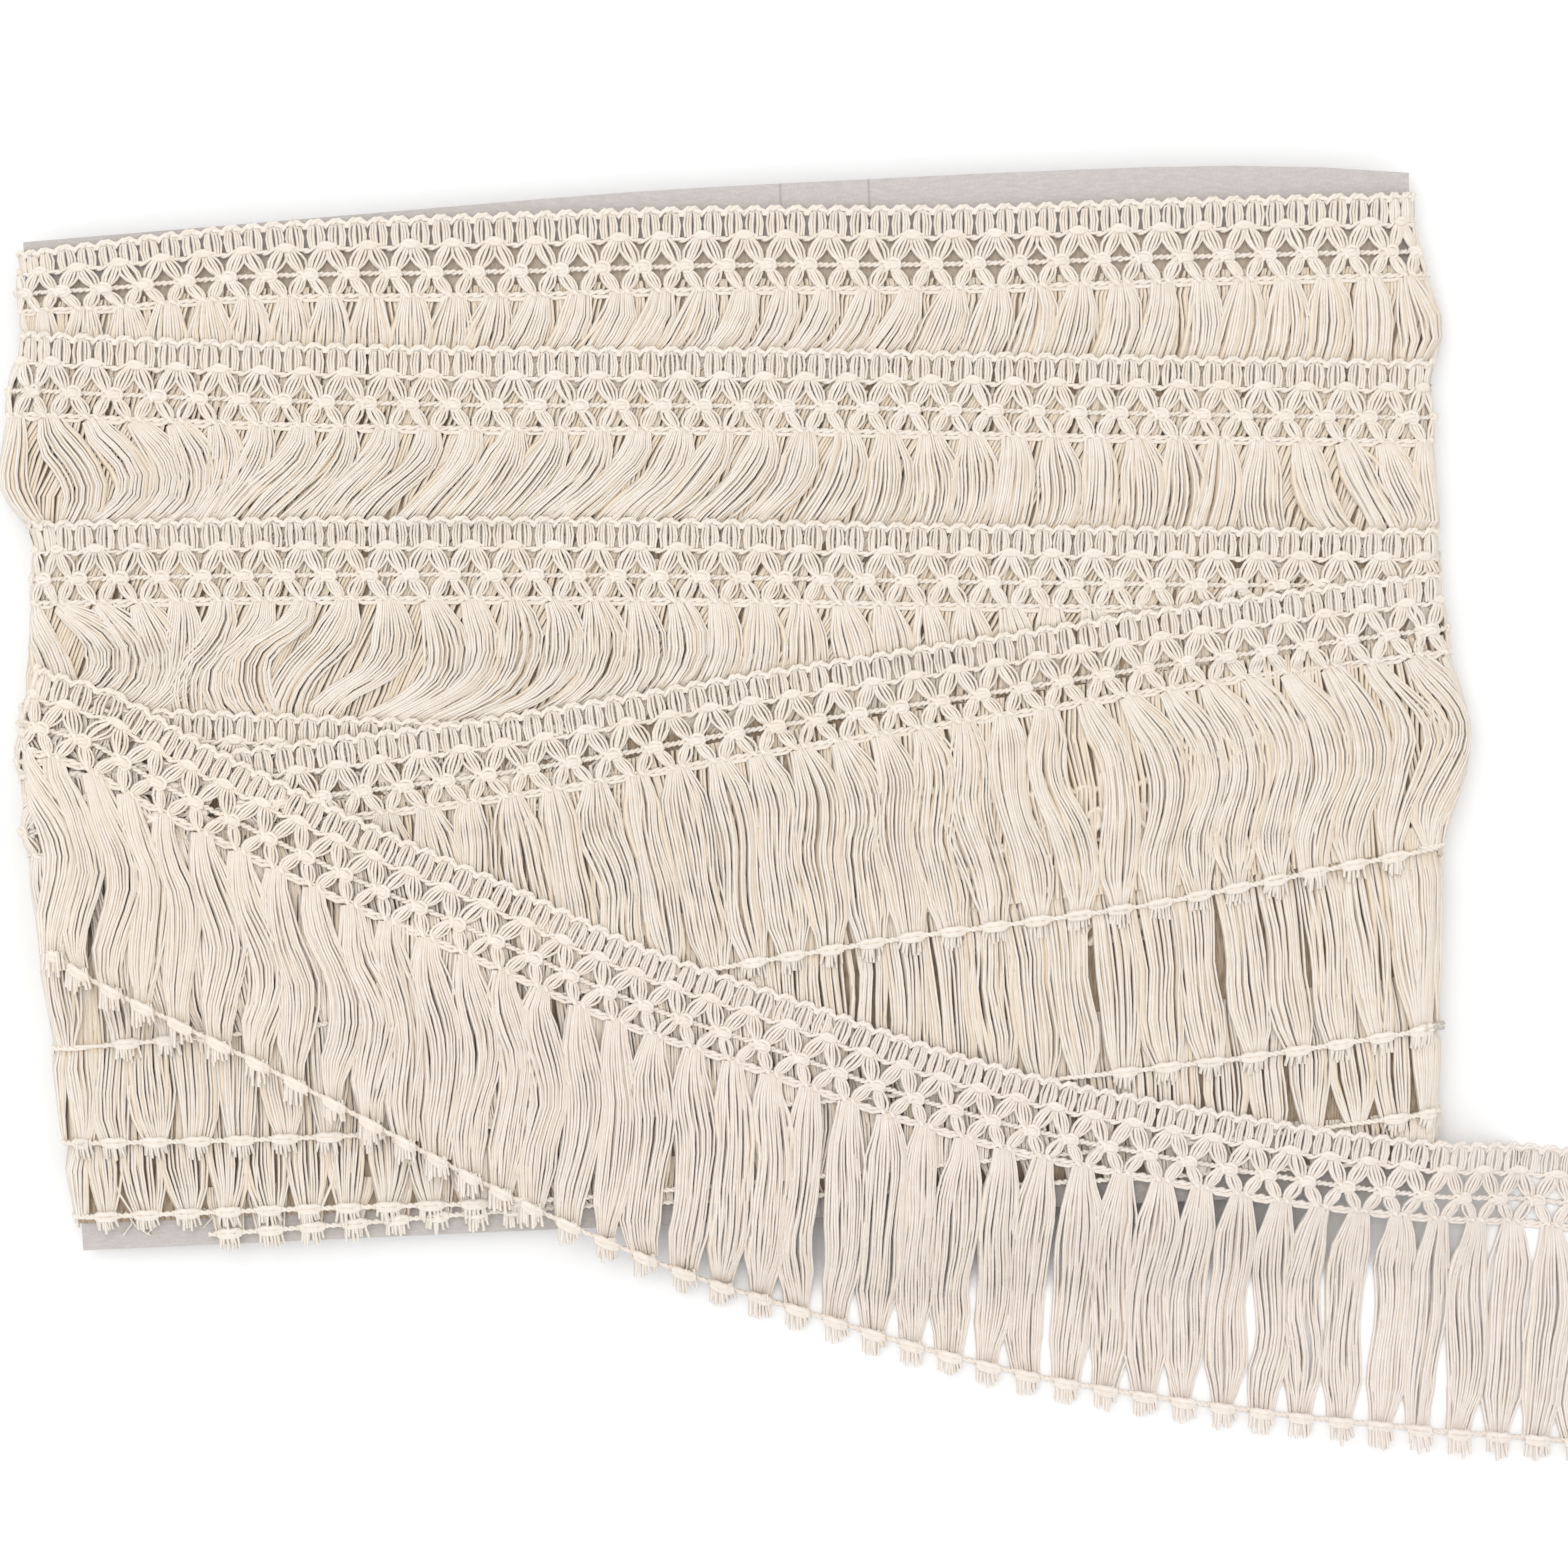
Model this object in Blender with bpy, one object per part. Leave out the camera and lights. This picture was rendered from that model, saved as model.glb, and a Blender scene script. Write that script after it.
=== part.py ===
"""Tassel fringe trim wound on a grey board card, with its outer end left loose.

Units are metres, +Z up. The card lies level with its long side along X and its
short side along Y. The origin is on the surface the bundle rests on, under the
middle of the card. Lengths in the tables are in millimetres and go through MM.
"""

import math

import bpy
import numpy as np
from mathutils import Vector
from mathutils.bvhtree import BVHTree

MM = 0.001

# Card
CARD_HALF_LENGTH = 148.0
CARD_HALF_HEIGHT = 109.5
CARD_UNDERSIDE = 5.6
CARD_THICKNESS = 1.8
CARD_TOP_EDGE = (  # x, height: cut a little high on the right
    (-148, 108.7), (-90, 111.2), (-54, 112.8), (-20, 114.2), (31, 115.0), (66, 115.3),
    (100, 115.1), (120, 114.4), (136, 113.2), (148, 111.9),
)
CARD_TOP_SEGMENTS = 16
CARD_GAP = 0.3

# The trim, measured down from its picot edge
PITCH = 8.9  # one lock, one star and two picots
FIRST_CHAIN = 6.3
SECOND_CHAIN = 12.6
THIRD_CHAIN = 17.6
END_CHAIN = 63.6
TRIM_WIDTH = 66.0

# How the turns stack
LAYER = 0.95  # what one buried turn adds
LIP = 0.9  # length of the step at a turn's edge
BACK_LAYER = 1.2
EDGE_COLUMN = 143.0  # the flat front ends here and the turns round the card's edge
BACK_COLUMNS = 12
NOSE_ANGLES = (70.0, 25.0, -25.0, -70.0)
NOSE_SQUARENESS = (0.4, 0.6)  # powers that square off the fold round the edge
LEAST_WALL = 0.9
FOOT_STEP = 0.5  # least distance between two lines of the winding

# Loose end
LOOSE_THICKNESS = 1.1
LOOSE_CLEARANCE = 0.9
SLOPE = 0.5  # how steeply the hanging trim runs down to the surface
HEAD_GAP = 0.15  # half of the slit that parts the locks' strip from the heading

# Pattern of the loose end. First the half heights across the trim, in millimetres
CHAIN_HALF = 0.6
ROPE_HALF = 0.5
KNOT_HALF = 1.65
PICOT_DIP = 0.9
NODE_DROP = 1.6  # from the first chain to where its two legs part
LEAF_RISE = 1.0  # from the third chain up to where its two legs part
STRIP_HEIGHT = 0.9  # of the strip that the locks hang from
# and then the places along it, in cells
PICOT_JOINT = 0.25
LEG_EDGE = 0.26
NECK = 0.1
KNEE = 0.08
KNOT_END = 0.2
ROOT_EDGE = 0.36
TUFT_HALF = 0.3
LOCK_WIDTHS = (0.15, 0.33, 0.40, 0.38, 0.20)  # half widths of a lock from root to end chain
LOCK_STEPS = len(LOCK_WIDTHS) - 1

# Height of each turn's picot edge across the front, in winding order, at the
# stations below. reach is the distance from the picot edge to the end chain.
STATIONS = (-148.0, -100.0, -50.0, 0.0, 50.0, 100.0, 148.0)
FRONT_TURNS = (
    # name, reach, heights at the stations
    ("a", 63.6, (106.8, 110.6, 111.0, 110.6, 108.9, 108.5, 107.8)),
    ("b", 63.6, (89.9, 86.0, 82.9, 80.8, 77.9, 74.9, 72.3)),
    ("c", 63.6, (49.7, 48.6, 46.7, 44.1, 41.1, 38.4, 36.1)),
    ("d", 63.6, (10.6, 6.6, 2.3, -2.5, -7.5, -12.5, -17.0)),
    ("i", 64.6, (-42.9, -42.4, -41.6, -40.6, -39.6, -38.6, -37.6)),
    ("h", 63.6, (-37.9, -38.2, -38.7, -36.6, -34.3, -32.0, -28.0)),
    ("g", 63.6, (-21.4, -22.4, -21.6, -20.0, -17.7, -14.1, -8.9)),
    ("e", 62.0, (-4.5, 0.0, 4.4, 10.8, 16.5, 22.3, 26.6)),
)

# Behind the card each turn runs from the right end of one front row to the left
# end of the next, so two heights give its picot edge.
BACK_TURNS = (
    # name, reach, height at the left, height at the right
    ("a", 63.6, 89.9, 107.8),
    ("b", 63.6, 49.7, 72.3),
    ("c", 63.6, 10.6, 36.1),
    ("d", 63.6, -42.9, -17.0),
    ("i", 63.6, -37.9, -37.6),
    ("h", 63.6, -21.4, -28.0),
    ("g", 62.0, -4.5, -8.9),
    ("e", 62.0, 18.8, 26.6),
)

# Lines of the front's mesh under each picot edge that shows, from the top down
FRONT_LINES = (
    # turn, distances below its picot edge
    ("a", (0.0, 1.2, 6.3, 12.6, 17.6, 23.0)),
    ("b", (-0.5, 0.6, 6.3, 12.6, 17.6, 24.0, 30.0)),
    ("c", (-0.5, 0.6, 6.3, 12.6, 17.6, 25.0, 33.0)),
    ("d", (-0.5, 0.6, 6.3)),
    ("e", (-0.5, 0.6, 6.3, 12.6, 17.6, 27.0, 40.0, 53.0, 62.0, 64.2)),
    ("g", (51.0, 63.6, 65.8)),
    ("h", (58.0, 63.6, 65.8)),
)
BACK_LINES = (
    ("a", (0.0, 1.2, 6.3, 12.6, 17.6, 26.0)),
    ("b", (-0.5, 0.6, 6.3, 12.6, 17.6, 26.0)),
    ("c", (-0.5, 0.6, 6.3, 12.6, 17.6)),
    ("e", (-0.5, 0.6, 6.3, 12.6, 17.6, 28.0, 40.0, 52.0, 62.0, 64.2)),
    ("g", (64.5, 66.0)),
    ("h", (55.0, 63.6, 65.8)),
    ("i", (64.5, 65.8)),
)
BOTTOM_EDGE = ((-150.0, -104.0), (-134.0, -104.2), (-127.0, -108.2), (150.0, -107.6))
BACK_BOTTOM_EDGE = ((-150.0, -108.0), (150.0, -106.0))

# Half width of the bundle at the card's two short edges
EDGE_REACH = (
    # height, reach on the left, reach on the right
    (111.0, 149.3, 149.2),
    (98.0, 149.5, 149.2),
    (90.0, 149.7, 151.4),
    (80.0, 152.0, 154.2),
    (67.0, 154.5, 151.7),
    (56.0, 155.2, 152.0),
    (49.0, 150.8, 152.2),
    (33.0, 150.6, 152.6),
    (11.0, 154.7, 154.1),
    (-10.0, 155.8, 158.2),
    (-32.0, 154.6, 152.2),
    (-65.0, 151.7, 150.2),
    (-87.0, 150.8, 149.8),
    (-104.0, 149.4, 149.2),
    (-112.0, 149.2, 149.1),
)

# The loose end, from the card's left edge to its finished right end. The picot
# edge is a smooth curve through the first pair of columns. The locks end on the
# end chain, a smooth curve through the second pair.
LOOSE_EDGES = (
    # picot x, picot y, end chain x, end chain y
    (-147.5, 17.9, -151.5, -41.6),
    (-132.9, 12.6, -139.2, -50.5),
    (-118.5, 3.4, -123.7, -59.3),
    (-98.0, -8.2, -109.4, -67.6),
    (-74.4, -20.7, -87.5, -80.7),
    (-51.1, -31.9, -64.0, -95.2),
    (-21.8, -46.8, -31.8, -113.4),
    (6.4, -58.1, -10.3, -124.2),
    (38.5, -71.0, 14.9, -134.1),
    (63.6, -79.4, 36.7, -142.0),
    (85.2, -84.9, 62.4, -149.6),
    (107.0, -90.0, 91.9, -156.0),
    (128.8, -94.5, 121.3, -161.3),
    (151.2, -98.2, 150.9, -165.6),
    (179.1, -102.6, 178.2, -169.2),
    (203.0, -106.0, 202.0, -171.8),
)
LOOSE_START = 2.0  # distance of the first lock along the third chain
LOOSE_LOCKS = 42
FOOT_LEAN = (
    # x of a lock's root, how far its end lies to the side
    (-150.0, 0.8),
    (-110.0, -0.9),
    (-80.0, -2.1),
    (-45.0, -4.2),
    (210.0, -4.4),
)
SWAY = (
    # x of a lock's root, how far its middle bows to the side
    (-150.0, 1.0),
    (-120.0, -3.0),
    (-85.0, 3.0),
    (-40.0, 2.2),
    (0.0, 0.6),
    (60.0, -0.8),
    (210.0, 0.4),
)

MATERIALS = (
    # name, colour, roughness
    ("grey board", (0.52, 0.50, 0.49), 0.85),
    ("natural cotton", (0.80, 0.74, 0.65), 0.90),
    ("washed cotton", (0.84, 0.79, 0.71), 0.90),
)


def clear_scene():
    for obj in list(bpy.data.objects):
        bpy.data.objects.remove(obj, do_unlink=True)


def make_material(name):
    colour, roughness = {row[0]: row[1:] for row in MATERIALS}[name]
    material = bpy.data.materials.new(name)
    material.use_nodes = True
    shader = material.node_tree.nodes["Principled BSDF"]
    shader.inputs["Base Color"].default_value = (*colour, 1.0)
    shader.inputs["Roughness"].default_value = roughness
    shader.inputs["Metallic"].default_value = 0.0
    return material


def add_object(name, points, faces, material):
    """A mesh object from points in millimetres."""
    mesh = bpy.data.meshes.new(name)
    mesh.from_pydata([(x * MM, y * MM, z * MM) for x, y, z in points], [], faces)
    mesh.validate()
    mesh.materials.append(make_material(material))
    obj = bpy.data.objects.new(name, mesh)
    bpy.context.scene.collection.objects.link(obj)
    return obj


def straight(x, table, column=1):
    return float(np.interp(x, [row[0] for row in table], [row[column] for row in table]))


def smooth(x, xs, ys):
    """A smooth curve through the stations, level with straight runs past its ends."""
    i = min(max(int(np.searchsorted(xs, x)) - 1, 0), len(xs) - 2)
    slopes = np.gradient(np.array(ys), np.array(xs))
    step = xs[i + 1] - xs[i]
    t = min(max((x - xs[i]) / step, 0.0), 1.0)
    start, end = ys[i], ys[i + 1]
    return float(
        start * (1 + 2 * t) * (1 - t) ** 2
        + slopes[i] * step * t * (1 - t) ** 2
        + end * t * t * (3 - 2 * t)
        - slopes[i + 1] * step * t * t * (1 - t)
    )


def ramp(distance, length):
    t = min(max(distance / length, 0.0), 1.0)
    return t * t * (3 - 2 * t)


def front_edge(turn, x):
    return smooth(x, STATIONS, turn[2])


def back_edge(turn, x):
    share = (x + CARD_HALF_LENGTH) / (2 * CARD_HALF_LENGTH)
    return turn[2] + (turn[3] - turn[2]) * share


def covering(below, reach):
    """1 where a turn covers a point that lies this far below its picot edge."""
    return ramp(below + 0.4, LIP) * ramp(reach + 2.4 - below, LIP)


def relief(below, reach, x):
    """Height of the topmost turn's own form over its flat layer."""
    height = 0.0
    for chain, rise in ((0.8, 0.25), (FIRST_CHAIN, 0.25), (SECOND_CHAIN, 0.5), (THIRD_CHAIN, 0.2)):
        height += rise * math.exp(-(((below - chain) / 1.1) ** 2))
    if THIRD_CHAIN < below < reach:
        along = (below - THIRD_CHAIN) / (reach - THIRD_CHAIN)
        ridge = 0.5 + 0.5 * math.cos(2 * math.pi * x / PITCH)
        height += math.sin(math.pi * along) ** 0.6 * (0.15 + 0.75 * ridge)
    height += 0.2 * math.exp(-(((below - reach) / 1.0) ** 2))
    return height


def front_height(x, y):
    height = CARD_UNDERSIDE + CARD_THICKNESS + CARD_GAP
    top = 0.0
    for turn in FRONT_TURNS:
        below = front_edge(turn, x) - y
        cover = covering(below, turn[1])
        height += LAYER * cover
        top = top * (1 - cover) + cover * relief(below, turn[1], x)
    return max(height + top, CARD_UNDERSIDE + CARD_THICKNESS + CARD_GAP + LEAST_WALL)


def back_height(x, y):
    """The underside, pressed flat at height 0 where the outer turns carry the bundle."""
    height = CARD_UNDERSIDE - CARD_GAP
    carried = 0.0
    groove = 0.0
    for turn in BACK_TURNS:
        below = back_edge(turn, x) - y
        cover = covering(below, turn[1])
        height -= BACK_LAYER * cover
        if turn[0] in ("e", "g", "h"):
            carried = max(carried, cover)
        if turn[0] in ("a", "b", "c"):
            groove = groove * (1 - cover) + cover * relief(below, turn[1], x)
    height = min(height - 0.5 * groove, CARD_UNDERSIDE - CARD_GAP - LEAST_WALL)
    return max((1 - carried) * height, 0.0)


def mesh_lines(lines, turns, edge_of, x, bottom):
    """Heights of the mesh's lines at one column, none of them crossing the next."""
    by_name = {turn[0]: turn for turn in turns}
    heights = [edge_of(by_name[name], x) - d for name, ds in lines for d in ds]
    heights.append(bottom)
    for i in range(len(heights) - 2, -1, -1):
        heights[i] = max(heights[i], heights[i + 1] + FOOT_STEP)
    return heights


def resample(values, count):
    old = np.linspace(0, 1, len(values))
    return [float(v) for v in np.interp(np.linspace(0, 1, count), old, values)]


def wound_sections():
    """Columns of the sleeve's front and back, each a list of points from top to bottom.
    There is one column at the middle of each lock and one between two locks."""
    half = int(2 * EDGE_COLUMN / PITCH)
    front = []
    for i in range(-half, half + 1):
        x = i * PITCH / 2
        ys = mesh_lines(FRONT_LINES, FRONT_TURNS, front_edge, x, straight(x, BOTTOM_EDGE))
        front.append([(x, y, front_height(x, y)) for y in ys])
    rows = len(front[0])
    back = []
    for i in range(BACK_COLUMNS + 1):
        x = EDGE_COLUMN * (1 - 2 * i / BACK_COLUMNS)
        bottom = straight(x, BACK_BOTTOM_EDGE)
        ys = mesh_lines(BACK_LINES, BACK_TURNS, back_edge, x, bottom)
        back.append([(x, y, back_height(x, y)) for y in resample(ys, rows)])
    return front, back


def edge_reach(y, side):
    column = 2 if side > 0 else 1
    return straight(-y, [(-row[0], row[column]) for row in EDGE_REACH])


def nose(start, end, side):
    """Columns that carry the winding round one short edge of the card."""
    columns = []
    for angle in NOSE_ANGLES:
        turn = math.radians(angle)
        share = 0.5 - 0.5 * math.sin(turn)
        column = []
        for a, b in zip(start, end):
            y = a[1] + (b[1] - a[1]) * share
            reach = max(edge_reach(y, side), CARD_HALF_LENGTH + CARD_GAP + LEAST_WALL)
            middle, half = (a[2] + b[2]) / 2, (a[2] - b[2]) / 2
            base = abs(a[0])
            across, up = NOSE_SQUARENESS
            x = side * (base + (reach - base) * math.cos(turn) ** across)
            column.append((x, y, middle + half * math.copysign(abs(math.sin(turn)) ** up, turn)))
        columns.append(column)
    return columns


def build_wound_trim():
    front, back = wound_sections()
    right = nose(front[-1], back[0], 1)
    left = nose(front[0], back[-1], -1)
    columns = front + right + back + left[::-1]
    rows = len(front[0])
    slot_x = CARD_HALF_LENGTH + CARD_GAP
    slot_top = CARD_UNDERSIDE + CARD_THICKNESS + CARD_GAP
    slot_bottom = CARD_UNDERSIDE - CARD_GAP
    points, faces = [], []
    for column in columns:
        points += column
    inner = len(points)
    nose_slot = [(slot_x, z) for z in np.linspace(slot_top, slot_bottom, len(NOSE_ANGLES))]
    for i, column in enumerate(columns):
        for x, y, _ in (column[0], column[-1]):
            if i < len(front):
                points.append((x, y, slot_top))
            elif i < len(front) + len(right):
                sx, sz = nose_slot[i - len(front)]
                points.append((sx, y, sz))
            elif i < len(front) + len(right) + len(back):
                points.append((x, y, slot_bottom))
            else:
                sx, sz = nose_slot[len(columns) - 1 - i]
                points.append((-sx, y, sz))
    count = len(columns)
    for i in range(count):
        j = (i + 1) % count
        for k in range(rows - 1):
            a, b = i * rows + k, j * rows + k
            faces.append((a, a + 1, b + 1, b))
        top_a, top_b = i * rows, j * rows
        foot_a, foot_b = top_a + rows - 1, top_b + rows - 1
        slot_a, slot_b = inner + 2 * i, inner + 2 * j
        faces.append((top_a, top_b, slot_b, slot_a))
        faces.append((foot_b, foot_a, slot_a + 1, slot_b + 1))
        faces.append((slot_a, slot_b, slot_b + 1, slot_a + 1))
    return add_object("wound_trim", points, faces, "natural cotton")


def build_card():
    places, heights = zip(*CARD_TOP_EDGE)
    outline = []
    for i in range(CARD_TOP_SEGMENTS + 1):
        share = i / CARD_TOP_SEGMENTS
        x = CARD_HALF_LENGTH * (2 * share - 1)
        outline.append((x, smooth(x, places, heights)))
    outline += [(CARD_HALF_LENGTH, -CARD_HALF_HEIGHT), (-CARD_HALF_LENGTH, -CARD_HALF_HEIGHT)]
    count = len(outline)
    points = [(x, y, CARD_UNDERSIDE) for x, y in outline]
    points += [(x, y, CARD_UNDERSIDE + CARD_THICKNESS) for x, y in outline]
    faces = [tuple(range(count)), tuple(range(2 * count - 1, count - 1, -1))]
    for i in range(count):
        j = (i + 1) % count
        faces.append((j, i, i + count, j + count))
    return add_object("card", points, faces, "grey board")


class Drape:
    """Height of a taut cloth laid over some objects and down to the surface."""

    STEP = 3.0
    REACH = 36.0

    def __init__(self, objects):
        self.low = (-165.0, -185.0)
        self.size = (int(390 / self.STEP), int(230 / self.STEP))
        trees = []
        for obj in objects:
            mesh = obj.data
            trees.append(
                BVHTree.FromPolygons([v.co for v in mesh.vertices], [p.vertices for p in mesh.polygons])
            )
        grid = np.zeros(self.size)
        for i in range(self.size[0]):
            for j in range(self.size[1]):
                x, y = self.low[0] + i * self.STEP, self.low[1] + j * self.STEP
                for tree in trees:
                    hit = tree.ray_cast(Vector((x * MM, y * MM, 0.1)), Vector((0, 0, -1)))[0]
                    if hit is not None:
                        grid[i, j] = max(grid[i, j], hit.z / MM)
        self.grid = self.slid(self.widened(grid))

    def shifted(self, grid, i, j):
        return np.roll(np.roll(grid, i, axis=0), j, axis=1)

    def widened(self, grid):
        return np.max([self.shifted(grid, i, j) for i in (-1, 0, 1) for j in (-1, 0, 1)], axis=0)

    def slid(self, grid):
        """Each place no lower than a slope that falls away from every higher place."""
        span = int(self.REACH / self.STEP)
        best = grid.copy()
        for i in range(-span, span + 1):
            for j in range(-span, span + 1):
                fall = SLOPE * self.STEP * math.hypot(i, j)
                best = np.maximum(best, self.shifted(grid, i, j) - fall)
        return np.maximum(best, 0.0)

    def height(self, x, y):
        u = min(max((x - self.low[0]) / self.STEP, 0.0), self.size[0] - 1.001)
        v = min(max((y - self.low[1]) / self.STEP, 0.0), self.size[1] - 1.001)
        i, j = int(u), int(v)
        s, t = u - i, v - j
        g = self.grid
        return float(
            (g[i, j] * (1 - s) + g[i + 1, j] * s) * (1 - t)
            + (g[i, j + 1] * (1 - s) + g[i + 1, j + 1] * s) * t
        )


class LooseEnd:
    """Places points of the flat trim, given along it and across it, on the drape."""

    def __init__(self, drape):
        self.drape = drape
        steps = np.linspace(0, len(LOOSE_EDGES) - 1, 400)
        index = list(range(len(LOOSE_EDGES)))
        columns = list(zip(*LOOSE_EDGES))
        self.picot = np.array([(smooth(s, index, columns[0]), smooth(s, index, columns[1])) for s in steps])
        self.foot = np.array([(smooth(s, index, columns[2]), smooth(s, index, columns[3])) for s in steps])
        tangent = np.gradient(self.picot, axis=0)
        tangent /= np.linalg.norm(tangent, axis=1)[:, None]
        self.down = np.stack([tangent[:, 1], -tangent[:, 0]], axis=1)
        third = self.picot + self.down * THIRD_CHAIN
        gaps = np.linalg.norm(np.diff(third, axis=0), axis=1)
        self.along = np.concatenate([[0], np.cumsum(gaps)]) - LOOSE_START

    def at(self, values, along):
        return np.array([np.interp(along, self.along, values[:, k]) for k in (0, 1)])

    def flat(self, cell, across):
        """Where a point lies on the surface's plan. cell counts locks."""
        along = cell * PITCH
        picot, down = self.at(self.picot, along), self.at(self.down, along)
        if across <= THIRD_CHAIN + 0.8:
            return picot + down * across
        root = picot + down * (THIRD_CHAIN + 0.8)
        foot_x = root[0] + straight(root[0], FOOT_LEAN)
        foot = np.array([foot_x, float(np.interp(foot_x, self.foot[:, 0], self.foot[:, 1]))])
        share = (across - THIRD_CHAIN - 0.8) / (END_CHAIN - THIRD_CHAIN - 0.8)
        bow = straight(root[0], SWAY) * math.sin(2 * math.pi * min(share, 1.0))
        return root + (foot - root) * share + np.array([bow, 0.0])

    def place(self, cell, across, lift):
        x, y = self.flat(cell, across)
        ground = self.drape.height(x, y)
        clear = LOOSE_CLEARANCE * ramp(ground, 0.6)
        return (float(x), float(y), ground + clear + lift)


def thick_sheet(name, faces, place, material):
    """A closed solid from a flat pattern: its faces twice, and a wall along each free edge."""
    keys, index = [], {}
    rings = []
    for face in faces:
        ring = []
        for cell, across in face:
            key = (round(cell, 4), round(across, 4))
            if key not in index:
                index[key] = len(keys)
                keys.append((cell, across))
            ring.append(index[key])
        rings.append(ring)
    count = len(keys)
    points = [place(c, v, LOOSE_THICKNESS) for c, v in keys] + [place(c, v, 0.0) for c, v in keys]
    solid = [tuple(ring) for ring in rings] + [tuple(i + count for i in ring[::-1]) for ring in rings]
    edges = {}
    for ring in rings:
        for a, b in zip(ring, ring[1:] + ring[:1]):
            edges[(a, b)] = True
    for a, b in edges:
        if (b, a) not in edges:
            solid.append((b, a, a + count, b + count))
    return add_object(name, points, solid, material)


def heading_pattern(cells):
    """The crocheted heading, open between its stars. Points are (cell, distance across)."""
    chain_1, chain_2, chain_3 = FIRST_CHAIN + CHAIN_HALF, SECOND_CHAIN, THIRD_CHAIN - CHAIN_HALF
    low = THIRD_CHAIN - HEAD_GAP
    knot_top, knot_foot = chain_2 - KNOT_HALF, chain_2 + KNOT_HALF
    rope_top, rope_foot = chain_2 - ROPE_HALF, chain_2 + ROPE_HALF
    node, leaf = (0.5, chain_1 + NODE_DROP), (0.5, chain_3 - LEAF_RISE)
    halves = [
        # picot edge and bars
        [(0, PICOT_DIP), (0, chain_1), (LEG_EDGE, chain_1), (PICOT_JOINT, 0.0)],
        # the leg down to the knot
        [(LEG_EDGE, chain_1), (NECK, knot_top), (KNOT_END, rope_top), node],
        # half a knot
        [(0, knot_top), (0, knot_foot), (KNEE, knot_foot),
         (KNOT_END, rope_foot), (KNOT_END, rope_top), (NECK, knot_top)],
        # the leg down to the lock's root
        [(KNOT_END, rope_foot), (KNEE, knot_foot), (ROOT_EDGE, chain_3), leaf],
    ]
    middles = [
        [(PICOT_JOINT, 0.0), (LEG_EDGE, chain_1), (1 - LEG_EDGE, chain_1),
         (1 - PICOT_JOINT, 0.0), (0.5, PICOT_DIP)],
        [(LEG_EDGE, chain_1), node, (1 - LEG_EDGE, chain_1)],
        [(KNOT_END, rope_top), (KNOT_END, rope_foot), (1 - KNOT_END, rope_foot), (1 - KNOT_END, rope_top)],
        [leaf, (ROOT_EDGE, chain_3), (1 - ROOT_EDGE, chain_3)],
        [(ROOT_EDGE, chain_3), (ROOT_EDGE, low), (1 - ROOT_EDGE, low), (1 - ROOT_EDGE, chain_3)],
    ]
    faces = []
    for cell in range(cells):
        faces += [[(cell + u, v) for u, v in face] for face in halves + middles]
        faces += [[(cell + 1 - u, v) for u, v in face[::-1]] for face in halves]
        if cell:
            faces.append(band(cell - ROOT_EDGE, cell + ROOT_EDGE, chain_3, low))
    faces.append(band(cells - ROOT_EDGE, cells, chain_3, low))
    return faces


def band(start, end, top, foot):
    return [(start, top), (start, foot), (end, foot), (end, top)]


def fringe_pattern(cells):
    """The locks, fused at a strip along the third chain and tied by the end chain."""
    faces = []
    high, low = THIRD_CHAIN + HEAD_GAP, THIRD_CHAIN + STRIP_HEIGHT
    end_top, end_foot = END_CHAIN - ROPE_HALF, END_CHAIN + ROPE_HALF
    levels = [low + (end_top - low) * k / LOCK_STEPS for k in range(LOCK_STEPS + 1)]
    root, foot = LOCK_WIDTHS[0], LOCK_WIDTHS[-1]
    for cell in range(cells):
        middle = cell + 0.5
        if cell:
            faces.append(band(middle - 1 + root, middle - root, high, low))
            faces.append(band(middle - 1 + foot, middle - foot, end_top, end_foot))
        faces.append(band(middle - root, middle + root, high, low))
        for k in range(LOCK_STEPS):
            a, b = LOCK_WIDTHS[k], LOCK_WIDTHS[k + 1]
            top, under = levels[k], levels[k + 1]
            faces.append([(middle - a, top), (middle - b, under), (middle + b, under), (middle + a, top)])
        faces.append(band(middle - foot, middle + foot, end_top, end_foot))
        corners = [(-foot, end_foot), (-TUFT_HALF, TRIM_WIDTH), (TUFT_HALF, TRIM_WIDTH), (foot, end_foot)]
        faces.append([(middle + u, v) for u, v in corners])
    return faces


def build_loose_end(card, wound):
    loose = LooseEnd(Drape([card, wound]))
    thick_sheet("loose_heading", heading_pattern(LOOSE_LOCKS), loose.place, "washed cotton")
    thick_sheet("loose_fringe", fringe_pattern(LOOSE_LOCKS), loose.place, "washed cotton")


def main():
    clear_scene()
    card = build_card()
    wound = build_wound_trim()
    build_loose_end(card, wound)


main()
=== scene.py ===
import math

import bpy
import numpy as np
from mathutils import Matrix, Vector
from mathutils.bvhtree import BVHTree


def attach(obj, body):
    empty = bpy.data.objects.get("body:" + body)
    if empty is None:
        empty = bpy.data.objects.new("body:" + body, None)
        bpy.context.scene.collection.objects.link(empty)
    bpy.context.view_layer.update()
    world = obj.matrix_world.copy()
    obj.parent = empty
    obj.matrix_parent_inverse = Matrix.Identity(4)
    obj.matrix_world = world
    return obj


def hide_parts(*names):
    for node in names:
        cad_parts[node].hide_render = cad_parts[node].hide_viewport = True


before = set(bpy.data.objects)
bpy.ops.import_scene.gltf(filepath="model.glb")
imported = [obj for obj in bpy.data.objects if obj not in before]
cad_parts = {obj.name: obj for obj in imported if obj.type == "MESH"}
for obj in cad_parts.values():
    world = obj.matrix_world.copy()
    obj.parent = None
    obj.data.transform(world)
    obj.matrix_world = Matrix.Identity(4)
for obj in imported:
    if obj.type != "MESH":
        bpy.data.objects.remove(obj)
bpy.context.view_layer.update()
mm = 0.001
dice = np.random.default_rng(71)

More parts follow.
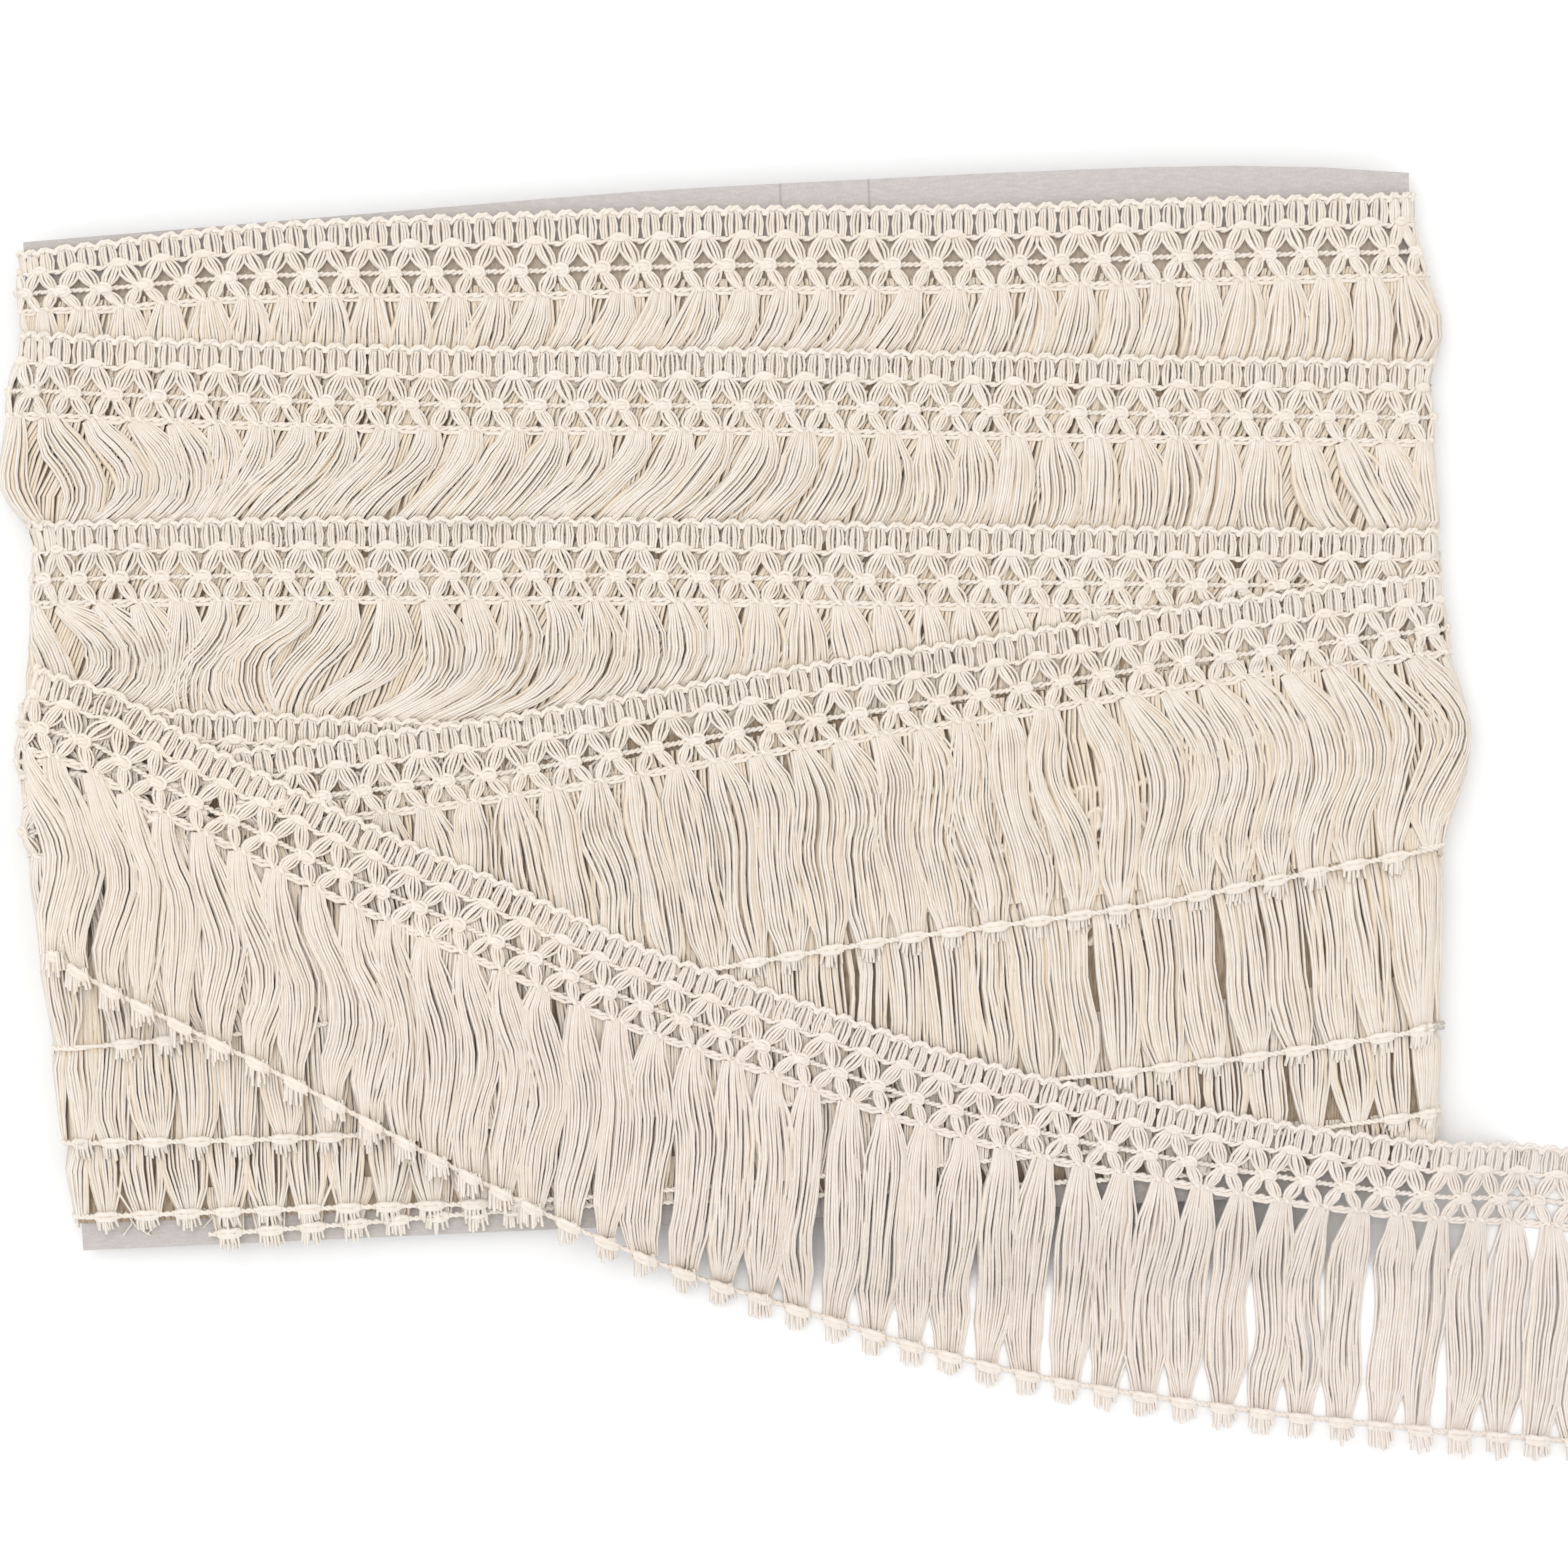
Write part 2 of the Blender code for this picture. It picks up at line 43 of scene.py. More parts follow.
# Camera: straight above the card, tipped a little, as in the photograph
cameraLook = {
    "place": (-0.0074, 0.0638, 0.8056),
    "turn": (-5.5, -1.4, -2.3),  # degrees
    "lens": 85.0,
    "sensor": 36.0,
}

cameraData = bpy.data.cameras.new("camera")
cameraData.lens = cameraLook["lens"]
cameraData.sensor_width = cameraLook["sensor"]
cameraData.clip_start = 0.05
cameraData.clip_end = 20.0
camera = bpy.data.objects.new("camera", cameraData)
camera.location = cameraLook["place"]
camera.rotation_euler = [math.radians(a) for a in cameraLook["turn"]]
bpy.context.scene.collection.objects.link(camera)
bpy.context.scene.camera = camera
print("camera ready")

# The card and the winding, in millimetres
card = {"halfLength": 148.0, "face": 7.4, "back": 5.6, "gap": 0.3}
trim = {
    "pitch": 8.9,  # one lock, one star and two picots
    "chains": (6.3, 12.6, 17.6),  # distances from the picot edge
}
layers = {
    "front": 0.95,  # what one more turn adds
    "back": 1.2,
    "lip": 0.9,  # length of the step at a turn's edge
    "over": 0.4,  # the step starts this far above the picot edge
    "tufts": 2.4,  # and ends this far under the end chain
    "rest": 2.3,  # height of the turns that lie on the surface
    "flatEnd": 143.0,  # the flat part ends here, then comes the fold round the card's edge
    "foldLength": 14.0,
    "squareness": (0.4, 0.6),  # powers that square off the fold
}
stations = (-148.0, -100.0, -50.0, 0.0, 50.0, 100.0, 148.0)
frontTurns = {  # winding order: reach to the end chain, picot edge at the stations
    "a": (63.6, (106.8, 110.6, 111.0, 110.6, 108.9, 108.5, 107.8)),
    "b": (63.6, (89.9, 86.0, 82.9, 80.8, 77.9, 74.9, 72.3)),
    "c": (63.6, (49.7, 48.6, 46.7, 44.1, 41.1, 38.4, 36.1)),
    "d": (63.6, (10.6, 6.6, 2.3, -2.5, -7.5, -12.5, -17.0)),
    "i": (64.6, (-42.9, -41.5, -39.7, -39.6, -39.2, -38.6, -37.6)),
    "h": (63.6, (-37.9, -38.2, -38.7, -36.6, -34.3, -32.0, -28.0)),
    "g": (63.6, (-21.4, -22.4, -21.6, -20.0, -17.7, -14.1, -8.9)),
    "e": (62.0, (-4.5, 0.0, 4.4, 10.8, 16.5, 22.3, 26.6)),
}
backTurns = {  # reach, picot edge at the left and at the right
    "a": (63.6, (89.9, 107.8)),
    "b": (63.6, (49.7, 72.3)),
    "c": (63.6, (10.6, 36.1)),
    "d": (63.6, (-42.9, -17.0)),
    "i": (63.6, (-37.9, -37.6)),
    "h": (63.6, (-21.4, -28.0)),
    "g": (62.0, (-4.5, -8.9)),
    "e": (62.0, (18.8, 26.6)),
}
carriedBy = ("e", "g", "h")  # back turns that lie flat on the surface
edgeReach = (  # height, half width of the bundle on the left and on the right
    (111.0, 149.3, 149.2), (98.0, 149.5, 149.2), (90.0, 149.7, 151.4), (80.0, 152.0, 154.2),
    (67.0, 154.5, 151.7), (56.0, 155.2, 152.0), (49.0, 150.8, 152.2), (33.0, 150.6, 152.6),
    (11.0, 154.7, 154.1), (-10.0, 155.8, 158.2), (-32.0, 154.6, 152.2), (-65.0, 151.7, 150.2),
    (-87.0, 150.8, 149.8), (-104.0, 149.4, 149.2), (-112.0, 149.2, 149.1),
)
looseEdges = (  # picot x, picot y, end chain x, end chain y
    (-147.5, 17.9, -151.5, -41.6), (-132.9, 12.6, -139.2, -50.5), (-118.5, 3.4, -123.7, -59.3),
    (-98.0, -8.2, -109.4, -67.6), (-74.4, -20.7, -87.5, -80.7), (-51.1, -31.9, -64.0, -95.2),
    (-21.8, -46.8, -31.8, -113.4), (6.4, -58.1, -10.3, -124.2), (38.5, -71.0, 14.9, -134.1),
    (63.6, -79.4, 36.7, -142.0), (85.2, -84.9, 62.4, -149.6), (107.0, -90.0, 91.9, -156.0),
    (128.8, -94.5, 121.3, -161.3), (151.2, -98.2, 150.9, -165.6), (179.1, -102.6, 178.2, -169.2),
    (203.0, -106.0, 202.0, -171.8),
)
footLean = (  # x of a lock's root, how far its foot lies to the right
    (-156.0, 6.0), (-147.3, 3.2), (-133.0, 1.2), (-118.0, 1.7), (-96.0, 2.3), (-81.0, 1.9), (-72.0, 0.4),
    (-64.0, -0.9), (-45.0, -4.2), (210.0, -4.4),
)
loose = {
    "locks": 42,
    "start": 2.0,  # distance of the first lock along the third chain
    "clear": 0.9,
    "turned": 1,  # locks that turn round the card's edge
    "turnWidth": 2.2,
    "tuftRise": 1.5,
    "bold": 1.22,  # its end chain is thicker than the wound ones
    "least": 0.42,  # lowest height of a yarn over the floor
}
drape = {"step": 3.0, "reach": 36.0, "slope": 0.5, "low": (-165.0, -185.0), "size": (390.0, 230.0)}


def curveAt(x, xs, ys):  # smooth cubic through the stations
    xs, ys = np.array(xs, float), np.array(ys, float)
    slopes = np.gradient(ys, xs)
    i = np.clip(np.searchsorted(xs, x) - 1, 0, len(xs) - 2)
    step = xs[i + 1] - xs[i]
    t = np.clip((x - xs[i]) / step, 0.0, 1.0)
    return (
        ys[i] * (1 + 2 * t) * (1 - t) ** 2
        + slopes[i] * step * t * (1 - t) ** 2
        + ys[i + 1] * t * t * (3 - 2 * t)
        - slopes[i + 1] * step * t * t * (1 - t)
    )


def ramp(distance, length):
    t = np.clip(distance / length, 0.0, 1.0)
    return t * t * (3 - 2 * t)


def frontEdge(name, x):
    half = card["halfLength"]
    return curveAt(np.clip(x, -half, half), stations, frontTurns[name][1])


def backEdge(name, x):
    left, right = backTurns[name][1]
    half = card["halfLength"]
    return left + (right - left) * (np.clip(x, -half, half) + half) / (2 * half)


def covers(side, x, y):  # how far each turn covers a point, from 0 to 1, in winding order
    turns, edge = (frontTurns, frontEdge) if side == "front" else (backTurns, backEdge)
    found = []
    for name, (reach, _) in turns.items():
        below = edge(name, x) - y
        over = ramp(below + layers["over"], layers["lip"])
        found.append(over * ramp(reach + layers["tufts"] - below, layers["lip"]))
    return np.array(found)


# Shape of the fold round the card's edge, from the flat part to its middle
foldAngles = np.radians(np.linspace(90.0, 0.0, 80))
foldX = np.cos(foldAngles) ** layers["squareness"][0]
foldZ = np.sin(foldAngles) ** layers["squareness"][1]
foldX[0], foldZ[-1] = 0.0, 0.0
foldShare = np.concatenate([[0.0], np.cumsum(np.hypot(np.diff(foldX) * 10, np.diff(foldZ) * 6))])
foldShare /= foldShare[-1]

# Row a is squeezed towards its picot edge at the left
squeeze = {"places": (-146.0, -132.0, -90.0, -66.0, -40.0), "shares": (0.72, 0.80, 0.91, 0.96, 1.0)}


class Wound:
    # One turn on the front or the back. Places are given along the trim and across it.

    def __init__(self, side, name):
        self.side = side
        self.name = name
        turns = frontTurns if side == "front" else backTurns
        self.order = list(turns).index(name)
        self.reach = turns[name][0]
        self.edge = (lambda x: frontEdge(name, x)) if side == "front" else (lambda x: backEdge(name, x))

    def slope(self, u):
        return (self.edge(u + 2.0) - self.edge(u - 2.0)) / 4.0 * (np.abs(u) < 146.0)

    def flat(self, u, v):
        lean = self.slope(u)
        if self.side == "front" and self.name == "a":
            v = v * np.interp(u, squeeze["places"], squeeze["shares"])
        return u + lean * v, self.edge(u) - v / np.sqrt(1 + lean * lean)

    def openness(self, x, y):
        found = covers(self.side, np.clip(x, -layers["flatEnd"], layers["flatEnd"]), y)
        return np.prod(1 - found[self.order + 1:], axis=0)

    def lift(self, x, y, h):
        end = layers["flatEnd"]
        flatX = np.clip(x, -end, end)
        past = np.clip((np.abs(x) - end) / layers["foldLength"], 0.0, 1.0)
        front, back = covers("front", flatX, y), covers("back", flatX, y)
        names = list(backTurns)
        carried = np.max([back[names.index(n)] for n in carriedBy], axis=0)
        outFront = card["face"] + card["gap"] + layers["front"] * front.sum(axis=0)
        outBack = card["back"] - card["gap"] - layers["back"] * back.sum(axis=0)
        outBack = np.maximum((1 - carried) * outBack, layers["rest"])  # the yarns stand out to the floor
        outFront = np.maximum(outFront, card["face"] + card["gap"] + 0.6)
        if self.side == "front":
            depth = layers["front"] * front[self.order + 1:].sum(axis=0) - h
        else:
            depth = layers["back"] * back[self.order + 1:].sum(axis=0) - h
            depth = np.minimum(depth, np.maximum(card["back"] - 0.6 - outBack, 0.4))
        middle, half = (outFront + outBack) / 2, (outFront - outBack) / 2 - depth
        foldedX, foldedZ = np.interp(past, foldShare, foldX), np.interp(past, foldShare, foldZ)
        heights = np.array([row[0] for row in edgeReach])[::-1]
        reaches = np.array([(row[1], row[2]) for row in edgeReach])[::-1]
        near = np.clip(y, heights[0], heights[-1])
        left, right = curveAt(near, heights, reaches[:, 0]), curveAt(near, heights, reaches[:, 1])
        out = np.where(x > 0, right, left)
        out = np.maximum(out - depth - 1.0, card["halfLength"] + 0.6)
        worldX = np.where(past > 0, np.sign(x) * (end + (out - end) * foldedX), x)
        up = 1.0 if self.side == "front" else -1.0
        return np.stack([worldX, y, middle + up * half * foldedZ], axis=-1)


def drapedGrid():  # height of a taut cloth over the card and the winding, down to the floor
    step, low = drape["step"], drape["low"]
    count = [int(s / step) for s in drape["size"]]
    grid = np.zeros(count)
    trees = []
    for name in ("card", "wound_trim"):
        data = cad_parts[name].data
        points, faces = [v.co for v in data.vertices], [p.vertices for p in data.polygons]
        trees.append(BVHTree.FromPolygons(points, faces))
    for i in range(count[0]):
        for j in range(count[1]):
            start = Vector(((low[0] + i * step) * mm, (low[1] + j * step) * mm, 0.1))
            for tree in trees:
                hit = tree.ray_cast(start, Vector((0, 0, -1)))[0]
                if hit is not None:
                    grid[i, j] = max(grid[i, j], hit.z / mm)
    moved = lambda g, i, j: np.roll(np.roll(g, i, axis=0), j, axis=1)
    grid = np.max([moved(grid, i, j) for i in (-1, 0, 1) for j in (-1, 0, 1)], axis=0)
    span = int(drape["reach"] / step)
    best = grid.copy()
    for i in range(-span, span + 1):
        for j in range(-span, span + 1):
            best = np.maximum(best, moved(grid, i, j) - drape["slope"] * step * math.hypot(i, j))
    return np.maximum(best, 0.0)


class Loose:
    # The loose end, laid over the winding and down to the floor.

    def __init__(self):
        self.grid = drapedGrid()
        steps = np.linspace(0, len(looseEdges) - 1, 400)
        index = np.arange(len(looseEdges))
        columns = np.array(looseEdges).T
        self.picot = np.stack([curveAt(steps, index, columns[k]) for k in (0, 1)], axis=1)
        self.foot = np.stack([curveAt(steps, index, columns[k]) for k in (2, 3)], axis=1)
        tangent = np.gradient(self.picot, axis=0)
        tangent /= np.linalg.norm(tangent, axis=1)[:, None]
        self.down = np.stack([tangent[:, 1], -tangent[:, 0]], axis=1)
        third = self.picot + self.down * trim["chains"][2]
        gaps = np.linalg.norm(np.diff(third, axis=0), axis=1)
        self.along = np.concatenate([[0], np.cumsum(gaps)]) - loose["start"]

    def flat(self, u, v):
        at = lambda values: np.stack([np.interp(u, self.along, values[:, k]) for k in (0, 1)], axis=-1)
        short = self.along[0] - np.minimum(u, self.along[0])  # the first cells turn round the card's edge
        out = loose["turnWidth"] * (1 - np.exp(-short / loose["turnWidth"] / 1.4))
        place = at(self.picot) + at(self.down) * np.asarray(v)[..., None]
        return place[..., 0] - out, place[..., 1] + short * 0.30

    def footAt(self, u):
        x, _ = self.flat(u, np.full_like(u, trim["chains"][2] + 0.8))
        x = x + np.interp(x, [row[0] for row in footLean], [row[1] for row in footLean])
        return x, np.interp(x, self.foot[:, 0], self.foot[:, 1])

    def openness(self, x, y):
        return np.ones_like(x)

    def clearOf(self, x, y):
        # is a place on the flat part and outside the strip that the loose end covers
        top = np.interp(x, self.picot[:, 0], self.picot[:, 1])
        low = np.interp(x, self.foot[:, 0], self.foot[:, 1])
        return ((y > top + 1.5) | (y < low + 1.5)) & (np.abs(x) < 149.0)

    def ground(self, x, y):
        a = np.clip((x - drape["low"][0]) / drape["step"], 0.0, self.grid.shape[0] - 1.001)
        b = np.clip((y - drape["low"][1]) / drape["step"], 0.0, self.grid.shape[1] - 1.001)
        i, j = a.astype(int), b.astype(int)
        s, t, g = a - i, b - j, self.grid
        near = g[i, j] * (1 - s) + g[i + 1, j] * s
        far = g[i, j + 1] * (1 - s) + g[i + 1, j + 1] * s
        return near * (1 - t) + far * t

    def lift(self, x, y, h):
        ground = self.ground(x, y)
        turned = np.clip((-152.0 - x) / 3.0, 0.0, 1.0)
        z = ground + loose["clear"] * ramp(ground, 0.6) + h - 6.0 * turned * turned
        return np.stack([x, y, np.maximum(z, loose["least"])], axis=-1)


# Yarns: lines of points with a thickness, swept into tubes by Geometry Nodes
yarnLook = {"threadSides": 3, "ropeSides": 4, "backSides": 3, "detail": 1}


class Yarns:
    def __init__(self):
        self.lines = []  # (points [lines, points, 3] in mm, radius, tone: random tone times painted shade, is it a rope)

    def add(self, points, radius, toneAndShade=1.0, rope=False):
        points = points.reshape(-1, *points.shape[-2:])
        if not len(points):
            return
        radius = np.broadcast_to(radius, points.shape[:2])
        toneAndShade = np.broadcast_to(np.reshape(toneAndShade, (-1, 1)), points.shape[:2])
        self.lines.append((points, radius, toneAndShade, np.full(points.shape[:2], rope)))

    def build(self, name, material, ropeSides=yarnLook["ropeSides"]):
        data = bpy.data.meshes.new(name)
        places, edges, start = [], [], 0
        for points, _, _, _ in self.lines:
            count, length = points.shape[:2]
            index = start + np.arange(count * length).reshape(count, length)
            edges.append(np.stack([index[:, :-1].ravel(), index[:, 1:].ravel()], axis=1))
            places.append(points.reshape(-1, 3))
            start += count * length
        places, edges = np.concatenate(places) * mm, np.concatenate(edges)
        data.vertices.add(len(places))
        data.vertices.foreach_set("co", places.astype(np.float32).ravel())
        data.edges.add(len(edges))
        data.edges.foreach_set("vertices", edges.astype(np.int32).ravel())
        for key, column, scale in (("thickness", 1, mm), ("toneAndShade", 2, 1.0), ("rope", 3, 1.0)):
            layer = data.attributes.new(key, "FLOAT", "POINT")
            values = np.concatenate([row[column].ravel() for row in self.lines]).astype(np.float32)
            layer.data.foreach_set("value", (values * scale).astype(np.float32))
        lines = bpy.data.objects.new(name + "Lines", data)
        bpy.context.scene.collection.objects.link(lines)
        piece = swept(lines, name, material, ropeSides)
        bpy.data.objects.remove(lines)
        print(name, "has", len(piece.data.polygons), "faces")
        return piece


def yarnTree():
    tree = bpy.data.node_groups.new("yarn sweep", "GeometryNodeTree")
    ports = tree.interface
    ports.new_socket("Geometry", in_out="INPUT", socket_type="NodeSocketGeometry")
    for label, kind in (("Thread Sides", "NodeSocketInt"), ("Rope Sides", "NodeSocketInt"),
                        ("Detail", "NodeSocketInt"), ("Material", "NodeSocketMaterial")):
        ports.new_socket(label, in_out="INPUT", socket_type=kind)
    ports.new_socket("Geometry", in_out="OUTPUT", socket_type="NodeSocketGeometry")
    node = lambda kind: tree.nodes.new(kind)
    link = tree.links.new
    start, end = node("NodeGroupInput"), node("NodeGroupOutput")
    toCurve, kind, smooth = (node("GeometryNodeMeshToCurve"), node("GeometryNodeCurveSplineType"),
                             node("GeometryNodeSetSplineResolution"))
    kind.spline_type = "CATMULL_ROM"
    isRope = node("GeometryNodeInputNamedAttribute")
    isRope.data_type = "FLOAT"
    isRope.inputs["Name"].default_value = "rope"
    thick, thickness = node("GeometryNodeSetCurveRadius"), node("GeometryNodeInputNamedAttribute")
    thickness.data_type = "FLOAT"
    thickness.inputs["Name"].default_value = "thickness"
    length = node("GeometryNodeSplineParameter")
    hold = node("GeometryNodeStoreNamedAttribute")
    hold.data_type, hold.domain = "FLOAT", "POINT"
    hold.inputs["Name"].default_value = "along"
    split = node("GeometryNodeSeparateGeometry")
    split.domain = "CURVE"
    half = node("FunctionNodeCompare")
    half.data_type, half.operation = "FLOAT", "GREATER_THAN"
    half.inputs["B"].default_value = 0.5
    join = node("GeometryNodeJoinGeometry")
    link(start.outputs["Geometry"], toCurve.inputs["Mesh"])
    link(toCurve.outputs["Curve"], kind.inputs["Curve"])
    plain, least = node("ShaderNodeMath"), node("ShaderNodeMath")
    plain.operation, least.operation = "SUBTRACT", "MAXIMUM"
    least.inputs[1].default_value = 1.0
    link(start.outputs["Detail"], plain.inputs[0])
    link(isRope.outputs["Attribute"], plain.inputs[1])
    link(plain.outputs[0], least.inputs[0])
    link(kind.outputs["Curve"], smooth.inputs["Geometry"])
    link(least.outputs[0], smooth.inputs["Resolution"])
    link(smooth.outputs["Geometry"], thick.inputs["Curve"])
    link(thickness.outputs["Attribute"], thick.inputs["Radius"])
    link(thick.outputs["Curve"], hold.inputs["Geometry"])
    link(length.outputs["Length"], hold.inputs["Value"])
    link(hold.outputs["Geometry"], split.inputs["Geometry"])
    link(isRope.outputs["Attribute"], half.inputs["A"])
    link(half.outputs["Result"], split.inputs["Selection"])
    for output, sides in (("Selection", "Rope Sides"), ("Inverted", "Thread Sides")):
        profile, sweep, size = (node("GeometryNodeCurvePrimitiveCircle"), node("GeometryNodeCurveToMesh"),
                                node("GeometryNodeInputRadius"))
        around, keep = node("GeometryNodeSplineParameter"), node("GeometryNodeStoreNamedAttribute")
        keep.data_type, keep.domain = "FLOAT", "POINT"
        keep.inputs["Name"].default_value = "around"
        profile.inputs["Radius"].default_value = 1.0
        sweep.inputs["Fill Caps"].default_value = True
        link(start.outputs[sides], profile.inputs["Resolution"])
        link(profile.outputs["Curve"], keep.inputs["Geometry"])
        link(around.outputs["Factor"], keep.inputs["Value"])
        link(split.outputs[output], sweep.inputs["Curve"])
        link(keep.outputs["Geometry"], sweep.inputs["Profile Curve"])
        link(size.outputs["Radius"], sweep.inputs["Scale"])
        link(sweep.outputs["Mesh"], join.inputs["Geometry"])
    soft, real, paint = (node("GeometryNodeSetShadeSmooth"), node("GeometryNodeRealizeInstances"),
                         node("GeometryNodeSetMaterial"))
    link(join.outputs["Geometry"], soft.inputs["Geometry"])
    link(soft.outputs["Geometry"], real.inputs["Geometry"])
    link(real.outputs["Geometry"], paint.inputs["Geometry"])
    link(start.outputs["Material"], paint.inputs["Material"])
    link(paint.outputs["Geometry"], end.inputs["Geometry"])
    return tree


sweepTree = yarnTree()


def swept(lines, name, material, ropeSides):
    modifier = lines.modifiers.new("yarn sweep", "NODES")
    modifier.node_group = sweepTree
    inputs = [item for item in sweepTree.interface.items_tree if item.in_out == "INPUT"]
    ports = {item.name: item.identifier for item in inputs}
    modifier[ports["Thread Sides"]] = yarnLook["threadSides"]
    modifier[ports["Rope Sides"]] = ropeSides
    modifier[ports["Detail"]] = yarnLook["detail"]
    modifier[ports["Material"]] = material
    graph = bpy.context.evaluated_depsgraph_get()
    data = bpy.data.meshes.new_from_object(lines.evaluated_get(graph), depsgraph=graph)
    data.name = name
    piece = bpy.data.objects.new(name, data)
    bpy.context.scene.collection.objects.link(piece)
    lines.modifiers.remove(modifier)
    return piece


# Materials
# Cotton colours: top is the cotton's own colour; shade and the deep colour are painted shade, taken by
# threads that lie under others
cottonLook = {
    "natural": {"shade": (0.55, 0.40, 0.27), "deepShade": (0.86, 0.74, 0.59), "top": (0.905, 0.843, 0.768)},
    # the loose end's cotton: a paler top colour, and lighter shade colours, painted lesser shade where its
    # gaps lie over the pale floor
    "washed": {"shade": (0.68, 0.54, 0.42), "deepShade": (0.88, 0.79, 0.67), "top": (0.917, 0.857, 0.803)},
    "castFrom": (-0.15, (1.0, 0.985, 0.945)),  # place along x and colour cast of the loose end, the warmer side; the colour turns more neutral towards the right
    "castTo": (0.17, (0.985, 0.973, 0.975)),
    "fleck": 420.0,
    "fleckTone": (0.95, 0.93, 0.90),
    "fuzz": 3200.0,
    "roughness": 0.95,
    "sheen": 0.15,
    "specular": 0.2,
    "bump": 0.35,
    "bumpDepth": 0.0002,
    "ply": 0.0022,  # metres of rope to one turn of its plies
}


def newMaterial(name):
    material = bpy.data.materials.new(name)
    material.use_nodes = True
    tree = material.node_tree
    return material, tree, tree.nodes["Principled BSDF"]


def cottonMaterial(name, cotton, castAlongX=False):
    material, tree, shader = newMaterial(name)
    node, link = tree.nodes.new, tree.links.new
    toneAndShade = node("ShaderNodeAttribute")
    toneAndShade.attribute_name = "toneAndShade"
    # the ramp runs from painted shade colours, for threads that lie under others, up to the cotton's own
    # top colour
    colours = node("ShaderNodeValToRGB")
    ramps = colours.color_ramp.elements
    ramps[0].color = (*cotton["shade"], 1)
    ramps[1].position = 1.0
    ramps[1].color = (*cotton["top"], 1)
    middle = colours.color_ramp.elements.new(0.45)
    middle.color = (*cotton["deepShade"], 1)
    place, spots, mix = node("ShaderNodeTexCoord"), node("ShaderNodeTexNoise"), node("ShaderNodeMix")
    spots.inputs["Scale"].default_value = cottonLook["fleck"]
    spots.inputs["Detail"].default_value = 3.0
    mix.data_type, mix.blend_type = "RGBA", "MULTIPLY"
    mix.inputs["Factor"].default_value = 1.0
    tones = node("ShaderNodeValToRGB")
    tones.color_ramp.elements[0].position, tones.color_ramp.elements[1].position = 0.3, 0.7
    tones.color_ramp.elements[0].color = (*cottonLook["fleckTone"], 1)
    tones.color_ramp.elements[1].color = (1.0, 1.0, 1.0, 1)
    link(toneAndShade.outputs["Fac"], colours.inputs["Fac"])
    link(place.outputs["Object"], spots.inputs["Vector"])
    link(spots.outputs["Fac"], tones.inputs["Fac"])
    link(colours.outputs["Color"], mix.inputs["A"])
    link(tones.outputs["Color"], mix.inputs["B"])
    colour = mix.outputs["Result"]
    if castAlongX:
        axes, reach = node("ShaderNodeSeparateXYZ"), node("ShaderNodeMapRange")
        casts, cast = node("ShaderNodeMix"), node("ShaderNodeMix")
        reach.inputs["From Min"].default_value, warm = cottonLook["castFrom"]
        reach.inputs["From Max"].default_value, pale = cottonLook["castTo"]
        casts.data_type = "RGBA"
        cast.data_type, cast.blend_type = "RGBA", "MULTIPLY"
        casts.inputs["A"].default_value, casts.inputs["B"].default_value = (*warm, 1), (*pale, 1)
        cast.inputs["Factor"].default_value = 1.0
        link(place.outputs["Object"], axes.inputs["Vector"])
        link(axes.outputs["X"], reach.inputs["Value"])
        link(reach.outputs["Result"], casts.inputs["Factor"])
        link(colour, cast.inputs["A"])
        link(casts.outputs["Result"], cast.inputs["B"])
        colour = cast.outputs["Result"]
    link(colour, shader.inputs["Base Color"])
    along, around = node("ShaderNodeAttribute"), node("ShaderNodeAttribute")
    along.attribute_name, around.attribute_name = "along", "around"
    turns, add, wave, spin = (node("ShaderNodeMath") for _ in range(4))
    turns.operation, turns.inputs[1].default_value = "DIVIDE", cottonLook["ply"]
    spin.operation, spin.inputs[1].default_value = "MULTIPLY", 2 * math.pi
    wave.operation = "SINE"
    link(along.outputs["Fac"], turns.inputs[0])
    link(turns.outputs[0], add.inputs[0])
    link(around.outputs["Fac"], add.inputs[1])
    link(add.outputs[0], spin.inputs[0])
    link(spin.outputs[0], wave.inputs[0])
    fuzz, both, bump = node("ShaderNodeTexNoise"), node("ShaderNodeMath"), node("ShaderNodeBump")
    rope, plied = node("ShaderNodeAttribute"), node("ShaderNodeMath")
    rope.attribute_name = "rope"
    plied.operation = "MULTIPLY"
    fuzz.inputs["Scale"].default_value = cottonLook["fuzz"]
    fuzz.inputs["Detail"].default_value = 2.0
    both.operation = "MULTIPLY_ADD"
    both.inputs[1].default_value = 0.45
    bump.inputs["Strength"].default_value = cottonLook["bump"]
    bump.inputs["Distance"].default_value = cottonLook["bumpDepth"]
    link(place.outputs["Object"], fuzz.inputs["Vector"])
    link(wave.outputs[0], plied.inputs[0])
    link(rope.outputs["Fac"], plied.inputs[1])
    link(plied.outputs[0], both.inputs[0])
    link(fuzz.outputs["Fac"], both.inputs[2])
    link(both.outputs[0], bump.inputs["Height"])
    link(bump.outputs["Normal"], shader.inputs["Normal"])
    shader.inputs["Roughness"].default_value = cottonLook["roughness"]
    shader.inputs["Sheen Weight"].default_value = cottonLook["sheen"]
    shader.inputs["Specular IOR Level"].default_value = cottonLook["specular"]
    return material


boardLook = {
    "dark": (0.505, 0.465, 0.445),
    "light": (0.595, 0.555, 0.535),
    "speck": 2600.0,
    "fibre": 1500.0,
    "creases": (0.0133, 0.0322),  # their places along x; drawn only as darker lines, painted shade of the folds
    "creaseWidth": 0.0004,
    "creaseShade": 0.72,
    "bump": 0.5,
    "bumpDepth": 0.0002,
    "roughness": 0.9,
    "specular": 0.2,
}


